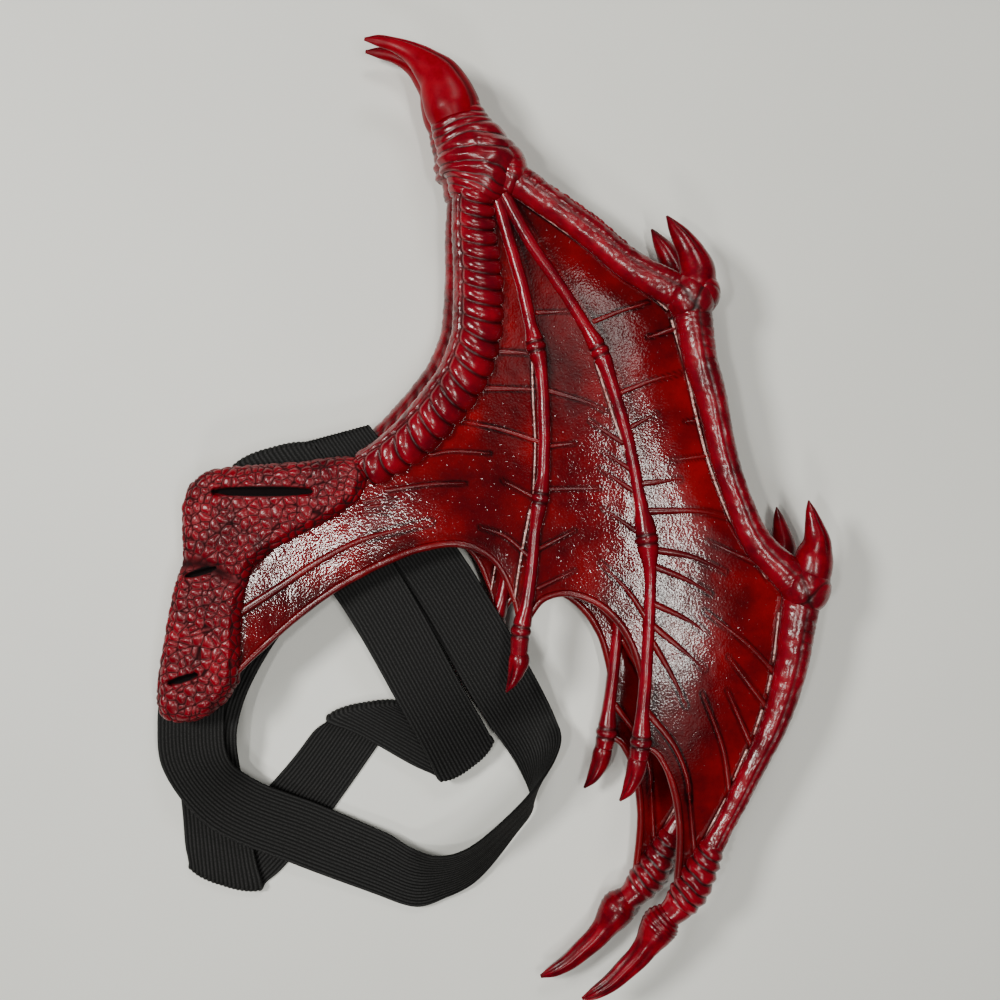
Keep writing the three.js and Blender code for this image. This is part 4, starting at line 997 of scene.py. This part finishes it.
def makeSpurs(prefix, place, name):
    row = spurRows[name]
    points = evenPath(spot(fromPhoto(row["line"])), spurPath) + [0, 0, spurRaise]
    mesh = bpy.data.meshes.new(f"{prefix}_{name}_spurs")
    mesh.from_pydata((place(points) * mm).tolist(), [(index, index + 1) for index in range(spurPath - 1)], [])
    piece = newObject(f"{prefix}_{name}_spurs", mesh)
    baked(piece, spurNodes, bone, {"Spur Count": row["count"], "Spur Radius": row["radius"] * mm,
                                   "Spur Length": row["length"] * mm, "Seed": 7})
    finishPiece(piece, bone)


def makeWing(prefix, place, detail):
    def dress(name, shape, finish, scales=None):
        points, faces, paint = shape
        piece = meshObject(f"{prefix}_{name}_dressed", place(points), faces, paint)
        finishPiece(piece, finish, f"{prefix}_{name}", scales)

    def limb(name, form, relief, finish):
        dress(name, limbForm(form, relief, detail), finish, form.get("scales"))

    makePad(prefix, place, detail)
    limb("arm", arm, scutes, bone)
    dress("wrist", joined([limbForm(wrist, wristFolds, detail), limbForm(wristLump, heelWrinkles, detail)]), bone)
    limb("horn", horn, hornStreaks, hornSkin)
    for name, rows in spars.items():
        limb(name, {**sparSize, "rows": rows}, sparBand, bone)
    for name, knuckle in knuckles.items():
        dress(name, knuckleForm(knuckle, detail), bone, knuckleSize["scales"])
    limb("tip_knuckle", tipKnuckle, tipFolds, bone)
    limb("tip_claw", tipClaw, tipClawRidges, clawSkin)
    for name, rows in knuckleClaws.items():
        limb(name, {**knuckleClawSize, "rows": rows}, clawGroove, clawSkin)
    for name, finger in fingers.items():
        limb(name, {**fingerSize, **finger}, knobCollars(finger["knobs"]), bone)
    for name, rows in fingerClaws.items():
        limb(name, {**fingerClawSize, "rows": rows}, clawGroove, clawSkin)
    for name in skins:
        dress(name, skinForm(name, detail), webSkin)
    for name in spurRows:
        makeSpurs(prefix, place, name)
    print(prefix, "wing dressed")


makeWing("upper", placeUpper, 1)
makeWing("lower", placeLower, lowerWing["detail"])

# Straps. Sizes are in mm; spacing is between the lines across the mesh, onPad the height in percent
# at which a strap lies on the lower pad, foldRound how far a fold's corners are drawn back.
strap = {"width": 50, "thickness": 1.8, "ribs": 18, "ribHeight": 0.85, "columns": 76, "spacing": 5.6, "onPad": 78,
         "foldRound": 6, "foldReach": 16, "foldSteps": 8, "clearance": 0.3, "held": "folded"}
# One row for each line across the strap: across, up, height in percent, direction, length as a
# share of the width, slope; a row with a second height folds the strap over there.
strapRows = {
    "strap_1": [
        (18, 51.2, 78, 0, 1, 0), (16.6, 56.9, 78, 15, 1.3, 0, 93), (31.6, 42.2, 93, 30, 1, 0),
        (41, 30.6, 94, 32, 0.97, 0), (46.2, 23.4, 44, 37, 1.04, 0, 28), (30.2, 29.2, 19, 9, 1.3, 0, 0),
        (20.4, 19.8, 0, -30, 1, 0), (7.8, 10.2, 0, -17, 1.2, 0, 15), (6.2, 19.6, 18, 0, 1, 0),
        (5.8, 25.6, 76, 6, 1, 0), (6.2, 29, 78, -6, 1, 0), (8.8, 34.2, 78, -32, 1, 0),
        (14.8, 40.8, 78, -39, 1, 0), (22.4, 45.6, 77, -42, 1, 0),
    ],
    "strap_2": [
        (26.3, 58.8, 90, 15, 1, 0), (30.8, 54.4, 95, 27, 1, 4), (36.4, 48.7, 84, 30, 1, 0),
        (42.8, 42.2, 81, 30, 1, 0), (51.5, 32.1, 80, 27, 0.98, 0), (54.8, 27.8, 50, 18, 0.94, 0),
        (57, 24.5, 56, 38, 1, 38), (56.4, 20.6, 73, 84, 1, 60), (51.2, 16.2, 73, 147, 1, 62),
        (45.7, 12.5, 60, 115, 1, 46), (41.6, 11.3, 46, 102, 1, 34), (37.7, 10.9, 28, 91, 1, 14),
        (32.2, 12.4, 22, 74, 1, 8), (20.8, 15.6, 24, 66, 1, 0), (9.4, 19.4, 50, 48, 1, 0),
        (4.8, 24, 87, 10, 1, 0), (4.2, 28.5, 93, 3, 1, 0), (4.8, 32.5, 93, -5, 1, 0),
    ],
}
padTop = (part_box("lower_base_pad")[1][2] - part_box("lower_base_pad")[0][2]) / mm + strap["clearance"]
stackRise = wingShift[2] - lowerShift[2]


def strapHeight(high):
    if high <= strap["onPad"]:
        return high / strap["onPad"] * padTop
    return padTop + (stackRise - padTop) * (high - strap["onPad"]) / (100 - strap["onPad"])


def strapLine(row):
    turn, lean = math.radians(row[3]), math.radians(row[5])
    middle = np.array([row[0] / 100 * wing["width"], row[1] / 100 * wing["height"],
                       strapHeight(row[2]) + strap["thickness"] / 2])
    half = np.array([math.cos(turn) * math.cos(lean), math.sin(turn) * math.cos(lean), math.sin(lean)])
    return middle, half * row[4] * strap["width"] / 2


def strapStretches(rows):
    # the strap between two folds is one smooth stretch; a fold is a half turn about its crease
    stretches, current, upFace = [], [], 1
    for index, row in enumerate(rows):
        middle, half = strapLine(row)
        current.append((middle, half))
        if len(row) == 6:
            continue
        stretches.append(("flat", current, upFace))
        outward = unit(np.array([half[1], -half[0], 0]))
        if outward @ (middle - strapLine(rows[index - 1])[0]) < 0:
            outward = -outward
        drop = strapHeight(row[2]) - strapHeight(row[6])
        bend = []
        for step in range(1, strap["foldSteps"]):
            angle = step / strap["foldSteps"] * math.pi
            radial = outward * math.sin(angle) + [0, 0, math.cos(angle) * np.sign(drop)]
            bend.append((middle - [0, 0, drop / 2] + radial * abs(drop) / 2, half,
                         radial * upFace * np.sign(drop), outward))
        stretches.append(("fold", bend, upFace))
        upFace = -upFace
        current = [(middle - [0, 0, drop], half)]
    stretches.append(("flat", current, upFace))
    return stretches


def strapFrames(rows):
    middles, halves, facings, pulls = [], [], [], []
    for kind, lines, upFace in strapStretches(rows):
        if kind == "fold":
            for middle, half, facing, outward in lines:
                middles.append(middle)
                halves.append(half)
                facings.append(facing)
                pulls.append(outward * strap["foldRound"])
            continue
        points, ends = (np.array(column) for column in zip(*lines))
        steps = max(3, round(lengthsAlong(points)[-1] / strap["spacing"]))
        if len(points) == 2:
            share = np.linspace(0, 1, steps)[:, None]
            smooth, half = points[0] + share * (points[1] - points[0]), ends[0] + share * (ends[1] - ends[0])
        else:
            smooth, half = smoothPath(points, steps), smoothPath(ends, steps)
        facing = unit(np.cross(half, np.gradient(smooth, axis=0)))
        facing *= -1 if facing[0, 2] * upFace < 0 else 1
        middles += list(smooth)
        halves += list(half)
        facings += list(facing)
        pulls += [np.zeros(3)] * len(smooth)
    # the corners of a fold are drawn back, and the strap beside it with them
    middles, pulls = np.array(middles), np.array(pulls)
    at = lengthsAlong(middles)
    folded = np.flatnonzero(np.abs(pulls).sum(1))
    if len(folded):
        away = np.abs(at[:, None] - at[folded][None])
        pulls = pulls[folded][away.argmin(1)] * bell(away.min(1), 0, strap["foldReach"])[:, None]
    return middles, np.array(halves), np.array(facings), pulls


def makeStrap(name):
    middles, halves, facings, pulls = strapFrames(strapRows[name])
    rows, columns = len(middles), strap["columns"] + 1
    share = np.linspace(-1, 1, columns)
    offset = share[None, :, None]
    sheet = middles[:, None] + offset * halves[:, None] - np.abs(offset) ** 3 * pulls[:, None]
    edge = np.minimum(1, (1 - np.abs(offset)) * strap["width"] / 2 / 0.8 + 0.25)
    half = facings[:, None] * (strap["thickness"] - strap["ribHeight"]) / 2 * edge
    faces = shellFaces(rows, columns)
    # faces look outwards when the strap's own across, along and facing are right-handed
    if np.cross(halves[0], middles[1] - middles[0]) @ facings[0] > 0:
        faces = faces[:, ::-1]
    points = np.vstack([(sheet + half).reshape(-1, 3), (sheet - half).reshape(-1, 3)]) + lowerShift
    across = np.tile((share + 1) / 2, 2 * rows)
    piece = meshObject(f"{name}_ribbed", points, faces.tolist(), {"across": across})
    lengths = lengthsAlong(middles)
    place = np.stack([(across - 0.5) * strap["width"] * mm, np.tile(np.repeat(lengths, columns), 2) * mm], 1)
    layer = piece.data.uv_layers.new(name="strapPlace")
    corners = np.empty(len(piece.data.loops), int)
    piece.data.loops.foreach_get("vertex_index", corners)
    layer.data.foreach_set("uv", place[corners].astype(np.float32).ravel())
    baked(piece, ribNodes, strapKnit, {"Rib Count": float(strap["ribs"]), "Rib Height": strap["ribHeight"] * mm})
    finishPiece(piece, strapKnit, name)
    print(name, "is", round(lengths[-1]), "mm long")


makeStrap("strap_1")
makeStrap("strap_2")

# Floor, light and camera. The camera looks straight down; it is placed in mm, the rest in metres.
studio = {"cameraHeight": 900, "lens": 41.8, "viewX": 8.8, "viewY": 10.5, "floorReach": 6, "floorDrop": 0.0005,
          "lightColour": "#fffdf7", "airColour": "#e4e6e8", "air": 0.06}
# A round softbox has its place, the spot it looks at, width and watts. A long one hangs flat and
# has its length and its turn in degrees too.
softboxes = {
    "leftSoftbox": ((-0.42, -0.17, 1.7), (-0.1, 0, 0), 0.11, 6),
    "stripSoftbox": ((0.37, -0.12, 1.7), None, 0.05, 8.5, 0.54, 14),
    "topSoftbox": ((0.3, 0.44, 1.7), (0.1, 0.15, 0), 0.2, 0.85),
    "topPanel": ((0.07, 0.36, 1.7), (0.05, 0.1, 0), 0.3, 0.22),
    "sheenPanel": ((0.5, -0.27, 1.7), None, 0.3, 0.6, 0.8),
    "sideSoftbox": ((-1.05, 0.35, 1.6), (-0.05, 0, 0), 0.4, 26),
    "farSoftbox": ((0.3, 1.4, 1.5), (0, 0, 0), 0.5, 9),
    "nearSoftbox": ((-0.15, -1.15, 1.6), (0, 0, 0), 0.3, 5.5),
}


def makeFloor():
    # pale grey board with faint clouds and a fine tooth
    material, tree = newShader("paleGreyBoard")
    where = addNode(tree, "ShaderNodeTexCoord").outputs["Object"]
    cloud = addNode(tree, "ShaderNodeTexNoise", None, Vector=where, Scale=2.2, Detail=6.0).outputs["Fac"]
    colour = addNode(tree, "ShaderNodeValToRGB", {"stops": [(0.3, "#e0e1dc"), (0.7, "#e8e9e4")]},
                     Fac=cloud).outputs["Color"]
    grain = addNode(tree, "ShaderNodeTexNoise", None, Vector=where, Scale=900.0, Detail=2.0).outputs["Fac"]
    bump = addNode(tree, "ShaderNodeBump", None, Height=grain, Distance=0.1 * mm, Strength=0.3).outputs["Normal"]
    surface = addNode(tree, "ShaderNodeBsdfPrincipled", None, Base_Color=colour, Roughness=0.62, Normal=bump)
    addNode(tree, "ShaderNodeOutputMaterial", None, Surface=surface.outputs[0])
    reach = studio["floorReach"]
    mesh = bpy.data.meshes.new("floor")
    mesh.from_pydata([(-reach, -reach, 0), (reach, -reach, 0), (reach, reach, 0), (-reach, reach, 0)], [],
                     [(0, 1, 2, 3)])
    mesh.materials.append(material)
    floor = newObject("floor", mesh)
    floor.location.z = cadLow[2] - studio["floorDrop"]


def makeLight(name, place, target, size, power, length=0, turn=0):
    light = bpy.data.lights.new(name, "AREA")
    light.shape = "RECTANGLE" if length else "DISK"
    light.size = size
    light.size_y = length or size
    light.energy = power
    light.color = linear(studio["lightColour"])[:3]
    lamp = newObject(name, light)
    lamp.location = place
    if length:
        lamp.rotation_euler = (0, 0, math.radians(turn))
    else:
        lamp.rotation_euler = (Vector(target) - Vector(place)).to_track_quat("-Z", "Y").to_euler()


makeFloor()
for name, values in softboxes.items():
    makeLight(name, *values)
world = bpy.data.worlds.new("studioAir")
world.use_nodes = True
world.node_tree.nodes["Background"].inputs["Color"].default_value = linear(studio["airColour"])
world.node_tree.nodes["Background"].inputs["Strength"].default_value = studio["air"]
bpy.context.scene.world = world
camera = bpy.data.cameras.new("overheadCamera")
camera.lens = studio["lens"]
camera.sensor_width = 36
viewer = newObject("overheadCamera", camera)
viewer.location = (studio["viewX"] * mm, studio["viewY"] * mm, studio["cameraHeight"] * mm)
bpy.context.scene.camera = viewer
print("floor, lights and camera set")
